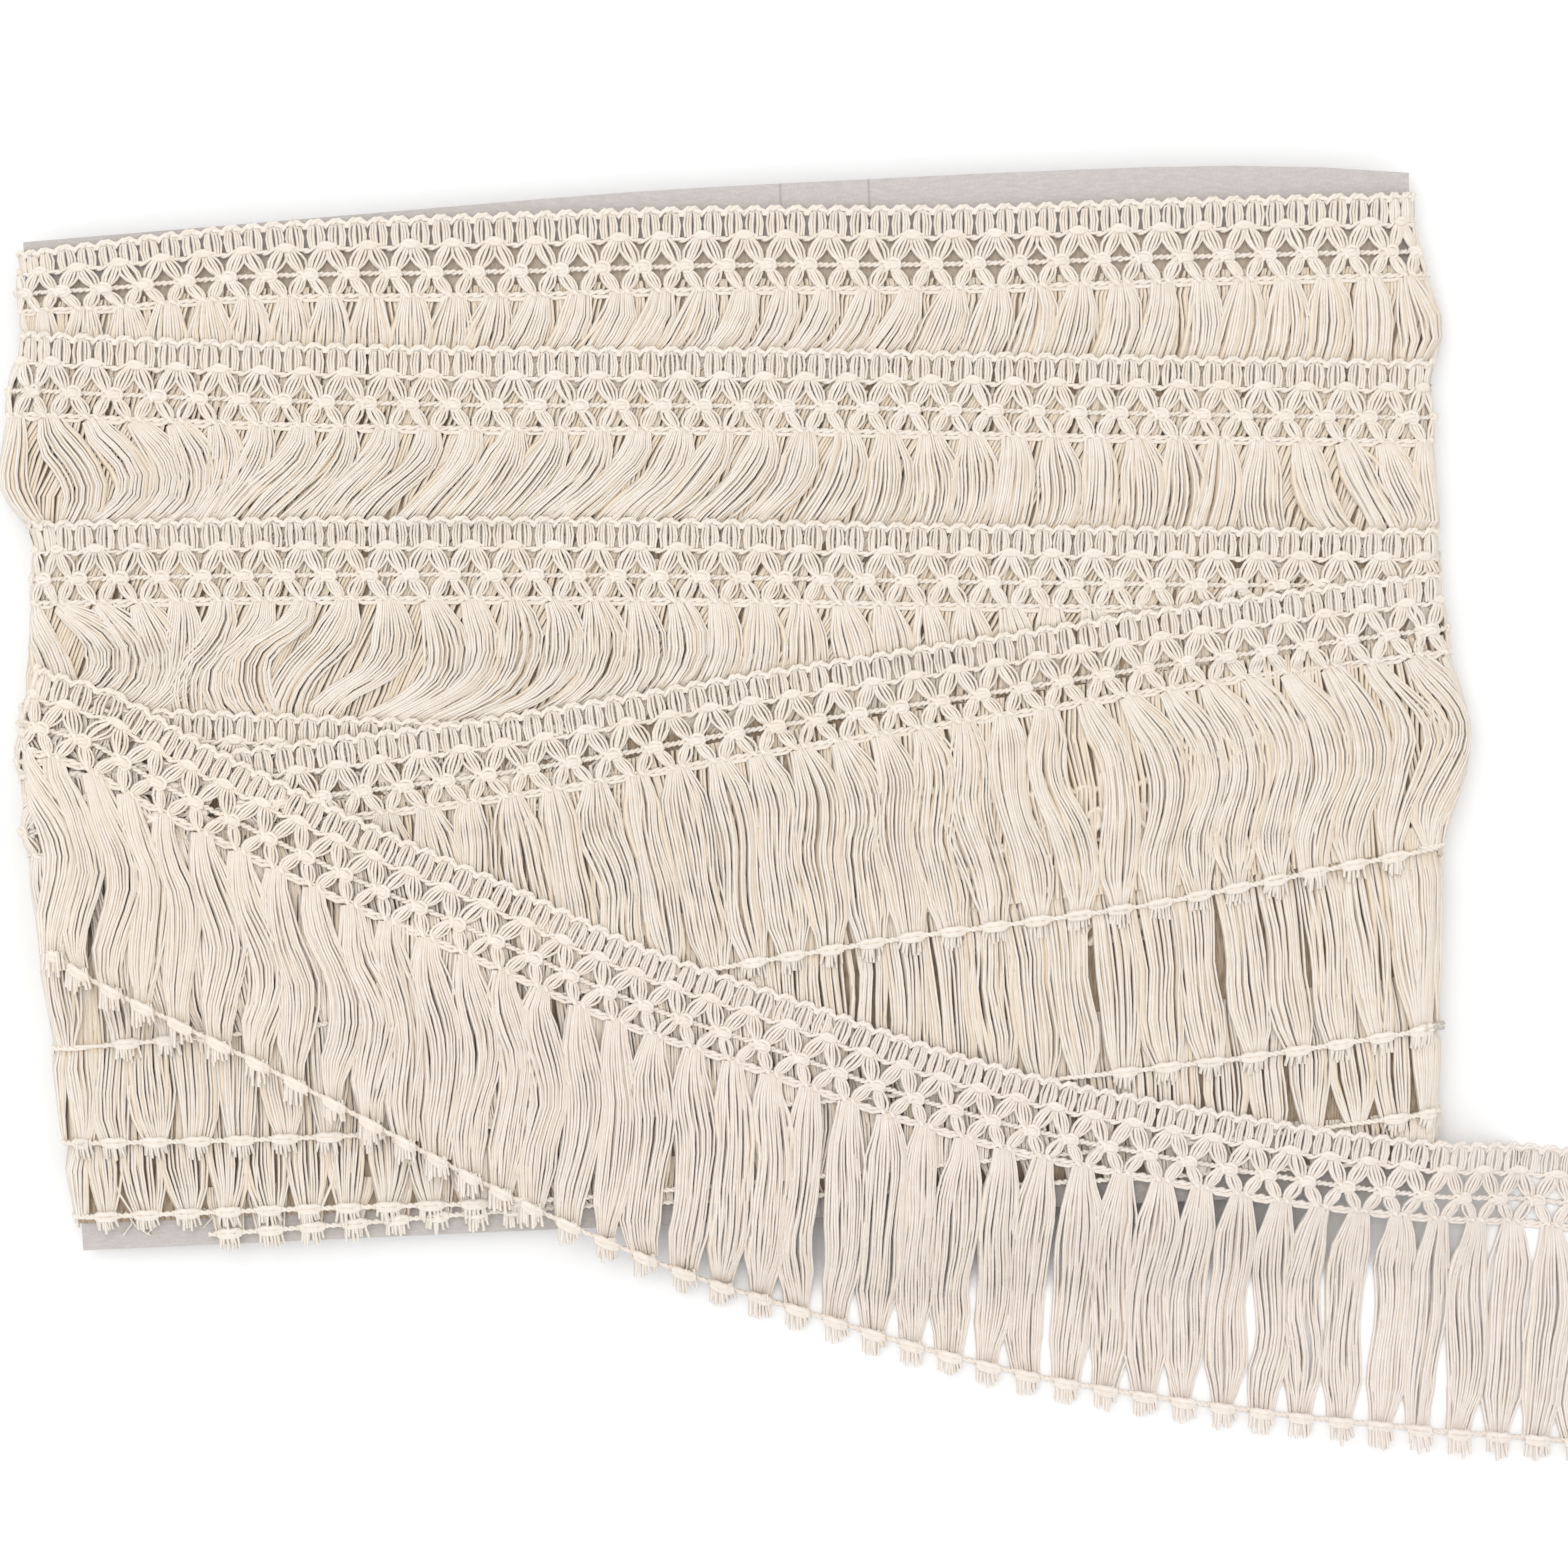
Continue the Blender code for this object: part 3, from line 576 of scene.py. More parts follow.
def boardMaterial():
    material, tree, shader = newMaterial("grey board")
    node, link = tree.nodes.new, tree.links.new
    place = node("ShaderNodeTexCoord")
    specks, fibres = node("ShaderNodeTexNoise"), node("ShaderNodeTexNoise")
    stretch = node("ShaderNodeMapping")
    stretch.inputs["Scale"].default_value = (0.25, 1.0, 1.0)
    specks.inputs["Scale"].default_value = boardLook["speck"]
    specks.inputs["Detail"].default_value = 5.0
    fibres.inputs["Scale"].default_value = boardLook["fibre"]
    fibres.inputs["Detail"].default_value = 6.0
    tones, mix = node("ShaderNodeValToRGB"), node("ShaderNodeMath")
    mix.operation = "MULTIPLY"
    tones.color_ramp.elements[0].position, tones.color_ramp.elements[1].position = 0.12, 0.38
    tones.color_ramp.elements[0].color = (*boardLook["dark"], 1)
    tones.color_ramp.elements[1].color = (*boardLook["light"], 1)
    bump = node("ShaderNodeBump")
    bump.inputs["Strength"].default_value = boardLook["bump"]
    bump.inputs["Distance"].default_value = boardLook["bumpDepth"]
    link(place.outputs["Object"], specks.inputs["Vector"])
    link(place.outputs["Object"], stretch.inputs["Vector"])
    link(stretch.outputs["Vector"], fibres.inputs["Vector"])
    link(specks.outputs["Fac"], mix.inputs[0])
    link(fibres.outputs["Fac"], mix.inputs[1])
    link(mix.outputs[0], tones.inputs["Fac"])
    link(mix.outputs[0], bump.inputs["Height"])
    axes = node("ShaderNodeSeparateXYZ")
    link(place.outputs["Object"], axes.inputs["Vector"])
    colour = tones.outputs["Color"]
    # each crease darkens a thin line at its x, as painted shade of its fold
    for crease in boardLook["creases"]:
        offset, size = node("ShaderNodeMath"), node("ShaderNodeMath")
        depth, darken = node("ShaderNodeMapRange"), node("ShaderNodeVectorMath")
        offset.operation, size.operation, darken.operation = "SUBTRACT", "ABSOLUTE", "SCALE"
        offset.inputs[1].default_value = crease
        depth.inputs["From Max"].default_value = boardLook["creaseWidth"]
        depth.inputs["To Min"].default_value = boardLook["creaseShade"]
        link(axes.outputs["X"], offset.inputs[0])
        link(offset.outputs[0], size.inputs[0])
        link(size.outputs[0], depth.inputs["Value"])
        link(colour, darken.inputs["Vector"])
        link(depth.outputs["Result"], darken.inputs["Scale"])
        colour = darken.outputs["Vector"]
    link(colour, shader.inputs["Base Color"])
    link(bump.outputs["Normal"], shader.inputs["Normal"])
    shader.inputs["Roughness"].default_value = boardLook["roughness"]
    shader.inputs["Specular IOR Level"].default_value = boardLook["specular"]
    return material


naturalCotton = cottonMaterial("natural cotton", cottonLook["natural"])
washedCotton = cottonMaterial("washed cotton", cottonLook["washed"], castAlongX=True)
greyBoard = boardMaterial()
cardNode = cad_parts["card"]
cardNode.data.materials.clear()
cardNode.data.materials.append(greyBoard)
print("materials ready")

# The crocheted heading. Sizes in millimetres, heights over the turn's own layer.
headingLook = {
    "thread": 0.425,
    "loop": 0.41,
    "rope": 0.39,
    "picot": 0.50,
    "twist": 0.33,
    "knot": 0.68,
    "legThreads": 5,
    "upperBulge": 1.15,
    "lowerBulge": 0.95,
    "wobble": 0.10,
}


def ropeLines(begin, finish, level, height, turns, spread, radius):
    # two plies twisted round a line that may rise and fall; no turns make one thick ply
    share = np.linspace(0, 1, 4 * turns + 1 if turns else 9)
    c = begin + (finish - begin) * share
    if not turns:
        return [(np.stack([c, level(c), height(c)], axis=1), radius * 1.5, True)]
    found = []
    for start in (0.0, math.pi):
        angle = 2 * math.pi * turns * share + start
        across, over = level(c) + spread * np.cos(angle), height(c) + spread * np.sin(angle)
        found.append((np.stack([c, across, over], axis=1), radius, True))
    return found


def headingPattern(look, coarse=False):
    # strands of one repeat: points (along, across, height), radius, is it a rope
    pitch = trim["pitch"]
    one, two, three = trim["chains"]
    thread, rope, twist = look["thread"], look["rope"], look["twist"]
    middle = pitch / 2
    strands = []
    level = lambda value: (lambda c: value + 0 * c)
    scallop = lambda c: 1.75 - 1.2 * np.abs(np.sin(2 * math.pi * c / pitch)) ** 0.7
    strands += ropeLines(0, pitch, scallop, level(0.6), 0 if coarse else 3, twist, look["picot"])
    for picot in (0.25, 0.75):
        for half in ((1.2,) if coarse else (0.58, 1.17, 1.76)):
            loop = [(-0.85, one + 0.2, 0.25), (-1.04, 4.0, 0.5), (-0.82, 1.8, 0.5),
                    (0, 0.95 + 0.1 * half, 0.4),
                    (0.82, 1.8, 0.5), (1.04, 4.0, 0.5), (0.85, one + 0.2, 0.25)]
            loop = np.array([(picot * pitch + x * half, v, h) for x, v, h in loop])
            strands.append((loop, look["loop"] * (1.6 if coarse else 1), False))
    # first chain: sags between the lumps that gather the legs
    sag = lambda c: one + 0.1 + 0.75 * np.cos(math.pi * c / pitch) ** 4
    turns = 0 if coarse else 2
    strands += ropeLines(0, pitch, sag, level(0.25), turns, twist, rope)
    gathers = ([(-1.75, 0.15, 0.4), (-0.8, -0.6, 0.85), (0.6, -0.5, 0.9), (1.65, 0.1, 0.4)],
               [(-1.5, -0.35, 0.4), (-0.5, 0.35, 0.95), (0.7, 0.3, 0.9), (1.75, -0.4, 0.4)])
    for gather in gathers[:1] if coarse else gathers:
        strands.append((np.array([(middle + x, one + v, h) for x, v, h in gather]), look["knot"], True))
    # second chain between the knots, third chain between the locks
    strands += ropeLines(1.7, pitch - 2.0, level(two), level(0.35), turns, twist, rope)
    strands += ropeLines(0, pitch, level(three), level(0.45), turns, twist, rope)
    if not coarse:
        for v, h in ((0.75, 0.2), (1.1, 0.35)):
            under = [(middle + 1.0, three, 0.4), (pitch - 1.2, three + v, h), (pitch + 1.4, three + v, h),
                     (pitch + middle - 1.0, three + 0.1, 0.4)]
            strands.append((np.array(under), 0.34, True))
    offsets = np.linspace(-1, 1, 2 if coarse else look["legThreads"])
    wide = thread * (2.0 if coarse else 1.0)
    for side, knot, knotLow in ((1, pitch - 1.3, pitch - 1.5), (-1, 1.2, 0.9)):
        for bow in offsets:
            # from the first chain down to a knot
            begin = np.array([middle + side * 0.9 + bow * 0.72, one + 0.35, 0.5])
            finish = np.array([knot + bow * 0.5, two - 0.5 + 0.15 * side * bow, 0.85])
            strands.append((leg(begin, finish, bow, look["upperBulge"], 0.45), wide, False))
            # from the knot down to the lock's root
            begin = np.array([knotLow + bow * 0.5, two + 0.6, 0.8])
            finish = np.array([middle + side * 1.1 + bow * 0.45, three - 0.1, 0.7])
            strands.append((leg(begin, finish, bow, look["lowerBulge"], 0.4), wide, False))
    # the knot: a lump with wraps over it
    lump = np.array([(-1.7, 0.1, 0.5), (-0.9, 0.0, 0.6), (0.6, 0.0, 0.7), (1.5, 0.05, 0.5)])
    strands.append((lump + np.array([0, two, 0]), np.array([0.8, 1.3, 1.4, 0.85]), True))
    ring = [(-0.4, 0.9, 0.9), (-0.6, -0.6, 1.2), (0.4, -1.2, 1.3), (1.6, -0.8, 1.2), (2.0, 0.3, 1.1),
            (1.2, 1.2, 1.15), (0.0, 1.1, 1.1)]
    strands.append((np.array([(x, two + v, h) for x, v, h in ring]), look["knot"] * 0.9, True))
    wraps = ([(-2.3, -0.2, 0.6), (-1.7, -0.8, 1.0), (-0.9, -0.2, 1.85), (-0.6, 0.8, 1.4), (-1.2, 1.3, 0.7)],
             [(-2.2, 0.6, 0.6), (-1.3, 0.3, 1.5), (-0.1, -0.35, 1.95), (1.0, -0.2, 1.7), (1.7, 0.3, 1.1)],
             [(-1.0, 1.1, 0.9), (0.0, 0.45, 1.75), (1.1, 0.45, 1.6), (1.9, -0.2, 0.9)])
    for wrap in wraps[1:2] if coarse else wraps:
        strands.append((np.array([(x, two + v, h) for x, v, h in wrap]), look["knot"] * 0.85, True))
    for side in (-1, 1):
        wrap = [(-0.55, -0.35, 0.5), (-0.2, -0.3, 1.15), (0.25, 0.25, 1.15), (0.6, 0.4, 0.5)]
        place = middle + side * 1.1
        strands.append((np.array([(place + x, three + v, h) for x, v, h in wrap]), 0.5, True))
    return strands


def leg(begin, finish, bow, bulge, rise):
    # one thread of a leg, bowed out to its own side
    points = []
    for share in (0.0, 0.25, 0.5, 0.75, 1.0):
        swell = math.sin(math.pi * share) ** 0.8 if 0 < share < 1 else 0.0
        point = begin + (finish - begin) * share
        lift = rise * swell * (1.25 - 0.75 * bow * bow)
        points.append(point + np.array([bow * bulge * swell, 0.0, lift]))
    return np.array(points)


def addHeading(yarns, carrier, cells, phase=0.0, coarse=False, toneAndShade=1.0, cords=None, strip=None):
    # cords takes the ropes and knots, strip the strands of the third chain that the locks hang from
    look = headingLook
    cells = np.asarray(cells, float)
    starts = cells * trim["pitch"] + phase
    shade = toneAndShade * (0.93 + 0.07 * dice.random(len(cells)))
    for points, radius, rope in headingPattern(look, coarse):
        count = len(points)
        sway = np.sin(np.linspace(0, math.pi, count))
        loosen = dice.normal(0, look["wobble"], (len(cells), 1, 2)) * sway[None, :, None]
        whole = np.array([0.0, 0.0]) if rope else dice.normal(0, 0.07, (len(cells), 1, 2))
        along = starts[:, None] + points[None, :, 0] + (loosen + whole)[..., 0]
        across = points[None, :, 1] + (loosen + whole)[..., 1] * 0.6
        height = points[None, :, 2] + dice.normal(0, 0.05, (len(cells), 1)) * sway
        x, y = carrier.flat(along, across)
        closed = 0.35 + 0.65 * carrier.openness(x, y)
        shine = shade * np.where(rope, 1.0, 0.97 + 0.03 * dice.random(len(cells)))
        target = yarns
        if rope and cords is not None:
            target = cords
        if strip is not None and points[:, 1].mean() > trim["chains"][2] - 0.5:
            target = strip
        target.add(carrier.lift(x, y, height * closed), radius, shine, rope)


# The locks. Leans are degrees from straight down, positive to the right, at distances along a lock.
lockLook = {
    "length": 46.0,
    "thread": 0.40,
    "top": 13,
    "under": 5,  # thick soft threads inside the lock
    "inner": 0.80,
    # the threads inside a lock are painted darker, as shade
    "innerShade": 0.60,
    "filling": 0.195,
    "crown": 0.95,
    "wave": 0.36,  # the threads of a lock waver together
    "wander": 0.12,  # and each a little by itself
    "points": 12,
    "root": 2.2,
    "spread": 4.5,
    "spreadLength": 8.0,
    "foot": 2.2,
    "footLength": 9.0,
    "stray": 0.05,  # share of the threads that wander off from their lock
    "strayWidth": 1.2,
}
hangingLook = {  # the loose end's own
    **lockLook,
    # lighter painted shade inside the loose end's locks
    "innerShade": 0.82,
    "root": 2.0,
    "spread": 4.15,
    "spreadLength": 11.0,
    "foot": 2.0,
    "footLength": 10.0,
}
leanSteps = (0.0, 7.0, 14.0, 21.0, 28.0, 35.0, 42.0)
leans = {  # x of a lock's root, then its leans
    "a": (
        (-155, -5, 0, 5, 5, 0, 0, 0), (-120, 3, -5, -5, 0, 0, 0, 0), (-60, -3, -6, -12, -10, 0, 0, 0),
        (-40, -4, -30, -42, -45, -30, -10, 0), (40, -4, -30, -45, -48, -40, -10, 0),
        (62, -2, -12, -28, -30, -20, 0, 0), (130, 0, -6, -16, -16, -10, 0, 0),
        (150, 8, 10, 4, -8, -15, 0, 0),
    ),
    "b": (
        (-158, -8, -12, 5, 25, 30, 0, 0), (-149, 0, 2, 0, -5, -5, 0, 0),
        (-141, 25, 50, 35, -40, -60, -60, 0), (-130, 25, 40, 15, -50, -60, -50, 0),
        (-120, 40, 28, -10, -50, -68, -55, 0), (-111, 25, 5, -18, -58, -60, -50, 0),
        (-102, 0, -22, -36, -40, -40, -30, 0), (-92, -4, -40, -50, -50, -45, -30, 0),
        (0, -4, -38, -50, -50, -40, -20, 0), (18, 0, -20, -42, -48, -40, -20, 0),
        (34, 4, -4, -18, -36, -36, -20, 0), (70, 6, 4, -8, -26, -30, -20, 0),
        (106, 6, 2, -10, -20, -20, -10, 0), (115, 2, -8, -8, 28, 62, 70, 0),
        (122, 6, 2, 12, 52, 72, 75, 0), (129, 14, 26, 38, 40, 30, 10, 0),
        (138, 12, 24, 24, -5, -35, -20, 0), (150, 5, 16, 10, -25, -40, -20, 0),
    ),
    "c": (
        (-158, 5, 15, 25, 25, 0, 0, 0), (-146, 40, 62, 30, -45, -68, -60, 0),
        (-133, 40, 40, 5, -45, -68, -70, 0), (-120, 5, 0, -12, -55, -75, -60, 0),
        (-108, 0, -40, -55, -5, 35, 30, 0), (-95, -5, -55, -55, 0, 35, 30, 0),
        (-84, -6, -42, -52, -30, 0, 20, 0), (-74, 8, -4, -42, -64, -50, 0, 0),
        (-64, 26, 24, -12, -58, -72, -60, 0), (-52, 5, 2, -25, -55, -65, -60, 0),
        (-44, 26, 8, -22, -50, -65, -60, 0), (-18, 20, 5, -32, -55, -60, -50, 0),
        (2, 10, 3, -22, -40, -50, -40, 0), (22, 8, 12, 0, -10, -20, 0, 0), (150, 0, 0, 0, 0, 0, 0, 0),
    ),
    "e": (
        (-150, 0, 5, 0, -5, 0, 0, 0), (-60, -3, 6, -4, 4, -2, 0, 0), (-20, 4, -6, 3, 6, -5, 0, 0),
        (6, 20, 20, -5, -14, 4, 5, 0), (17, 24, 20, -5, -15, 6, 5, 0), (38, 22, 12, -8, -10, 8, 5, 0),
        (46, 14, 5, -10, -10, 12, 12, 0), (57, 5, -6, 0, 16, 18, 2, 0), (69, -3, -6, 5, 25, 18, 0, 0),
        (78, 26, 30, 12, -6, -18, -10, 0), (115, 32, 34, 16, -10, -24, -14, 0),
        (135, 30, 32, 18, -10, -28, -20, 0), (150, 24, 24, 12, -12, -24, -18, 0),
    ),
    "g": (
        (-150, 0, 0, 4, -4, 3, -3, 0), (-60, 0, 4, -6, 6, -4, 3, 0), (60, 0, 3, 6, -8, 5, -3, 0),
        (150, 0, 0, -4, 6, -6, 3, 0),
    ),
    "h": (
        (-150, 0, 0, 0, 6, -8, 8, 0), (0, 0, 0, 4, -6, 8, -8, 0), (150, 0, 0, 0, 6, -6, 6, 0),
    ),
    "i": (
        (-150, 0, 0, 0, 0, 4, -4, 0), (150, 0, 0, 0, 0, -4, 4, 0),
    ),
    "loose": (
        (-155, 5, 25, 30, 10, -22, -22, 0), (-140, 8, 24, 22, 0, -16, -14, 0),
        (-128, 4, 20, 24, 4, -14, -12, 0), (-117, -4, 12, 26, 14, -10, -18, 0),
        (-104, -4, 8, 24, 20, 0, -12, 0), (-85, -2, 12, 26, 16, -4, -12, 0),
        (-60, 0, 14, 20, 6, -10, -8, 0), (-30, 0, 8, 12, 2, -8, -5, 0), (20, 0, 5, 6, 0, -6, 0, 0),
        (80, 0, -3, -4, 3, 5, 0, 0), (200, 0, 2, -2, -2, 2, 0, 0),
    ),
}
endRope = {"radius": 0.40, "twist": 0.32, "turns": 3, "knot": 0.66}
tuftLook = {"threads": 9, "radius": 0.38, "length": 3.2, "flare": 1.2, "half": 1.95}


def lockPaths(carrier, rows, roots, length, jitter, foot):
    # centre lines of the locks, flat: places, directions and distances
    table = np.array(rows, float)
    begin = np.full_like(roots, trim["chains"][2] + 0.3)
    startX, startY = carrier.flat(roots, begin)
    s = np.linspace(0, length, 60)
    columns = range(1, len(leanSteps) + 1)
    angles = np.stack([np.interp(startX, table[:, 0], table[:, k]) for k in columns], axis=1)
    angles += dice.normal(0, jitter, angles.shape)
    phi = np.radians(np.array([np.interp(s, leanSteps, row) for row in angles]))
    step = s[1] - s[0]
    still = np.zeros((len(roots), 1))
    x = startX[:, None] + np.concatenate([still, np.cumsum(np.sin(phi[:, :-1]) * step, axis=1)], axis=1)
    y = startY[:, None] - np.concatenate([still, np.cumsum(np.cos(phi[:, :-1]) * step, axis=1)], axis=1)
    if foot is not None:
        share = (s / length)[None, :]
        x = x + (foot[0] - x[:, -1])[:, None] * share
        y = y + (foot[1] - y[:, -1])[:, None] * share
    return s, x, y


def addLocks(yarns, carrier, rows, roots, look=lockLook, skip=0.0, untilY=None, feet=None, jitter=4.0,
             top=None, under=None, points=None, toneAndShade=1.0):
    # skip leaves out the first millimetres, untilY ends the locks that run on under the next turn
    roots = np.asarray(roots, float)
    if not len(roots):
        return
    length = look["length"]
    s, x, y = lockPaths(carrier, rows, roots, length, jitter, feet)
    count = points or look["points"]
    ends = np.full(len(roots), length)
    if untilY is not None:
        for k in range(len(roots)):
            limit = untilY(x[k])
            past = np.nonzero(y[k] < limit)[0]
            if len(past):
                ends[k] = max(s[past[0]], 4.0)
    spread = look["spread"] * (0.86 + 0.22 * dice.random(len(roots)))
    inside = look["under"] if under is None else under
    groups = ((top or look["top"], 1.0, 1.0), (inside, look["inner"], look["innerShade"]))
    for threads, across, shade in groups:
        if not threads:
            continue
        scatter = dice.normal(0, 0.28 / threads, (len(roots), threads))
        q = np.clip(across * (np.linspace(-1, 1, threads)[None, :] + scatter), -1.08, 1.08)
        share = np.linspace(0, 1, count)
        places = skip + (ends[:, None] - skip) * share[None, :]
        cx = np.stack([np.interp(places[k], s, x[k]) for k in range(len(roots))])
        cy = np.stack([np.interp(places[k], s, y[k]) for k in range(len(roots))])
        dx, dy = np.gradient(cx, axis=1), np.gradient(cy, axis=1)
        size = np.hypot(dx, dy) + 1e-9
        normal = np.stack([-dy / size, dx / size], axis=-1)
        grow = ramp(places, look["spreadLength"]) ** 0.7
        wide = look["root"] + (spread[:, None] - look["root"]) * grow
        if feet is not None:
            narrow = ramp(places - (length - look["footLength"]), look["footLength"])
            wide = wide + (look["foot"] - wide) * narrow
        lean = np.abs(dy) / size
        wide = np.maximum(wide * lean, np.minimum(wide, 1.8))
        phase = dice.random((len(roots), threads, 1)) * 2 * math.pi
        rate = 0.10 + 0.12 * dice.random((len(roots), threads, 1))
        own = np.sin(phase + rate * places[:, None, :]) - np.sin(phase + rate * skip)
        start = dice.random((len(roots), 1, 1)) * 2 * math.pi + q[:, :, None] * 1.4
        shared = np.sin(start + 0.2 * places[:, None, :]) - np.sin(start)
        wander = (look["wander"] * own + look["wave"] * shared) * ramp(places, 6.0)[:, None, :]
        stray = dice.normal(0, look["strayWidth"], phase.shape)
        stray = stray * (dice.random(phase.shape) < look["stray"])
        wander = wander + stray * np.sin(math.pi * share)
        offset = q[:, :, None] * wide[:, None, :] + wander
        px = cx[:, None, :] + offset * normal[:, None, :, 0]
        py = cy[:, None, :] + offset * normal[:, None, :, 1]
        bulge = np.sin(math.pi * np.clip(places / length, 0, 1)) ** 0.5
        bulge = np.maximum(bulge, 0.25)
        crown = look["crown"] * (1 - 0.9 * q[:, :, None] ** 2) * bulge[:, None, :]
        height = 0.45 + crown + dice.normal(0, 0.08, (len(roots), threads, 1))
        closed = 0.15 + 0.85 * carrier.openness(px, py)
        radius = look["thread"] * (0.85 + 0.3 * dice.random((len(roots), threads, 1))) + 0 * height
        if across < 1.0:
            radius = look["filling"] * wide[:, None, :] + 0 * height
            height = np.maximum(height - 0.8 * radius, 0.55 * radius)
        colour = toneAndShade * shade * (0.93 + 0.07 * dice.random((len(roots), threads)))
        place = carrier.lift(px, py, np.maximum(height, 0.1) * closed)
        yarns.add(place, radius.reshape(-1, count), colour.ravel())


def addEndChain(yarns, carrier, cells, phase, footOf, coarse=False, rise=0.0, bold=1.0, seen=None):
    # the stitched chain that ties the locks' ends, and the tufts under it
    pitch, look = trim["pitch"], endRope
    closed = lambda x, y: 0.2 + 0.8 * carrier.openness(x, y)
    steps = 4 * (2 if coarse else look["turns"])
    share = np.linspace(0, 1, steps + 1)
    starts = np.asarray(cells, float) * pitch + phase
    for first in (0.0, math.pi):
        angle = math.pi / 2 * steps * share + first
        x, y = footOf(starts[:, None] + share[None, :] * pitch)
        y = y + look["twist"] * np.cos(angle)
        height = 0.85 + look["twist"] * np.sin(angle)[None, :] + 0 * x
        yarns.add(carrier.lift(x, y, height * closed(x, y)), look["radius"], 1.0, True)
    if seen is not None:
        starts = starts[seen(*footOf(starts + pitch / 2))]
    tie = [(-2.4, 0.2, 0.7), (-1.3, 0.6, 1.4), (0.0, 0.45, 1.75), (1.3, 0.6, 1.4), (2.4, 0.2, 0.7)]
    for flip in () if coarse else (1, -1):
        x, y = footOf(starts[:, None] + pitch / 2 + np.array([row[0] for row in tie])[None, :])
        y = y + flip * np.array([row[1] for row in tie])
        height = np.array([row[2] + rise for row in tie]) + 0 * x
        yarns.add(carrier.lift(x, y, height * closed(x, y)), look["knot"] * bold, 1.0, True)
    look = {**tuftLook, "threads": 5 if coarse else tuftLook["threads"]}
    footX, footY = footOf(starts + pitch / 2)
    q = np.linspace(-1, 1, look["threads"])
    q = q[None, :] + dice.normal(0, 0.08, (len(starts), look["threads"]))
    long = look["length"] * bold * (0.75 + 0.5 * dice.random(q.shape)) * (1 - 0.15 * q * q)
    t = np.array([-0.25, 0.4, 1.0])
    side = q * look["half"]
    px = footX[:, None, None] + side[..., None] * (1 + (look["flare"] - 1) * np.maximum(t, 0))
    px = px + dice.normal(0, 0.22, q.shape)[..., None] * np.maximum(t, 0)
    py = footY[:, None, None] - long[..., None] * t
    height = 0.8 + 0.75 * (1 - q[..., None] ** 2) + np.array([0.0, 0.1, -0.1]) + rise
    height = height + dice.normal(0, 0.15, q.shape)[..., None]
    place = carrier.lift(px, py, np.maximum(height, 0.3) * closed(px, py))
    yarns.add(place, look["radius"] * bold, 1.0)


chainRise = (  # place along row e, how far its end chain rises
    (-150.0, 2.5), (-113.0, 0.6), (-60.0, 0.0), (30.0, 0.0), (60.0, -0.9), (81.0, -1.4), (115.0, 0.3),
    (151.0, 2.5),
)


def woundFoot(carrier):
    # row e's end chain sways against its picot edge
    places, rises = zip(*chainRise)
    shown = 1.0 if carrier.name == "e" and carrier.side == "front" else 0.0
    return lambda u: carrier.flat(u, carrier.reach - shown * np.interp(u, places, rises))


# Front turns
# rowPhase shifts a row's pattern along it, so the knots of two rows don't line up
rowPhase = {"a": 1.0, "b": 4.2, "c": 2.2, "d": 3.0, "e": 6.1, "g": 0.4, "h": 5.0, "i": 2.6}
wholeRow = np.arange(-18, 18)


def rootsOf(cells, name):
    return (np.asarray(cells, float) + 0.5) * trim["pitch"] + rowPhase[name]


def cellsBetween(low, high):
    return np.arange(math.floor(low / trim["pitch"]), math.ceil(high / trim["pitch"]))


print("front turns")
looseEnd = Loose()
front = {name: Wound("front", name) for name in frontTurns}
rows = {name + part: Yarns() for name in frontTurns for part in ("Heading", "Locks")}
for name in ("a", "b", "c", "e"):
    addHeading(rows[name + "Heading"], front[name], wholeRow, rowPhase[name])
addHeading(rows["dHeading"], front["d"], cellsBetween(-157, -30), rowPhase["d"])
# these coarse headings lie under later turns and are painted darker, as shade
addHeading(rows["dHeading"], front["g"], cellsBetween(40, 96), rowPhase["g"], coarse=True, toneAndShade=0.8)
addHeading(rows["dHeading"], front["h"], cellsBetween(40, 72), rowPhase["h"], coarse=True, toneAndShade=0.8)
for name, below, points in (("a", "b", 8), ("b", "c", 13), ("c", "e", 13)):
    addLocks(rows[name + "Locks"], front[name], leans[name], rootsOf(wholeRow, name), points=points,
             untilY=lambda x, below=below: frontEdge(below, x) - 14.0)
for name, skip, points in (("e", 0.0, 15), ("g", 2.0, 9), ("h", 15.0, 7), ("i", 36.0, 4)):
    cells = cellsBetween(-124, 160) if name == "i" else wholeRow
    roots = rootsOf(cells, name)
    foot = woundFoot(front[name])
    yarns = rows["eLocks" if name == "e" else "gLocks"]
    addLocks(yarns, front[name], leans[name], roots, skip=skip, feet=foot(roots), points=points,
             under=None if name in "eg" else 3)
    addEndChain(yarns, front[name], cells, rowPhase[name], foot, rise=0.3, bold=1.1,
                seen=looseEnd.clearOf)

strayEnds = (  # x, y of three points each
    ((-138.0, -101.0), (-136.0, -104.5), (-133.0, -106.8)),
    ((-136.5, -101.0), (-137.0, -104.0), (-139.0, -106.5)),
    ((-131.0, -101.5), (-131.5, -104.5), (-134.0, -106.5)),
    ((-121.0, -101.0), (-119.5, -103.5), (-121.5, -105.5)),
)
for ends in strayEnds:
    line = np.array([(x, y, card["face"] + height) for (x, y), height in zip(ends, (1.6, 0.9, 0.35))])
    rows["gLocks"].add(line[None], 0.28)

# the fillers' lower tone paints them in shade
fillerLook = {"gap": 0.8, "radius": 0.50, "toneAndShade": 0.70, "sway": 0.8, "points": 5}


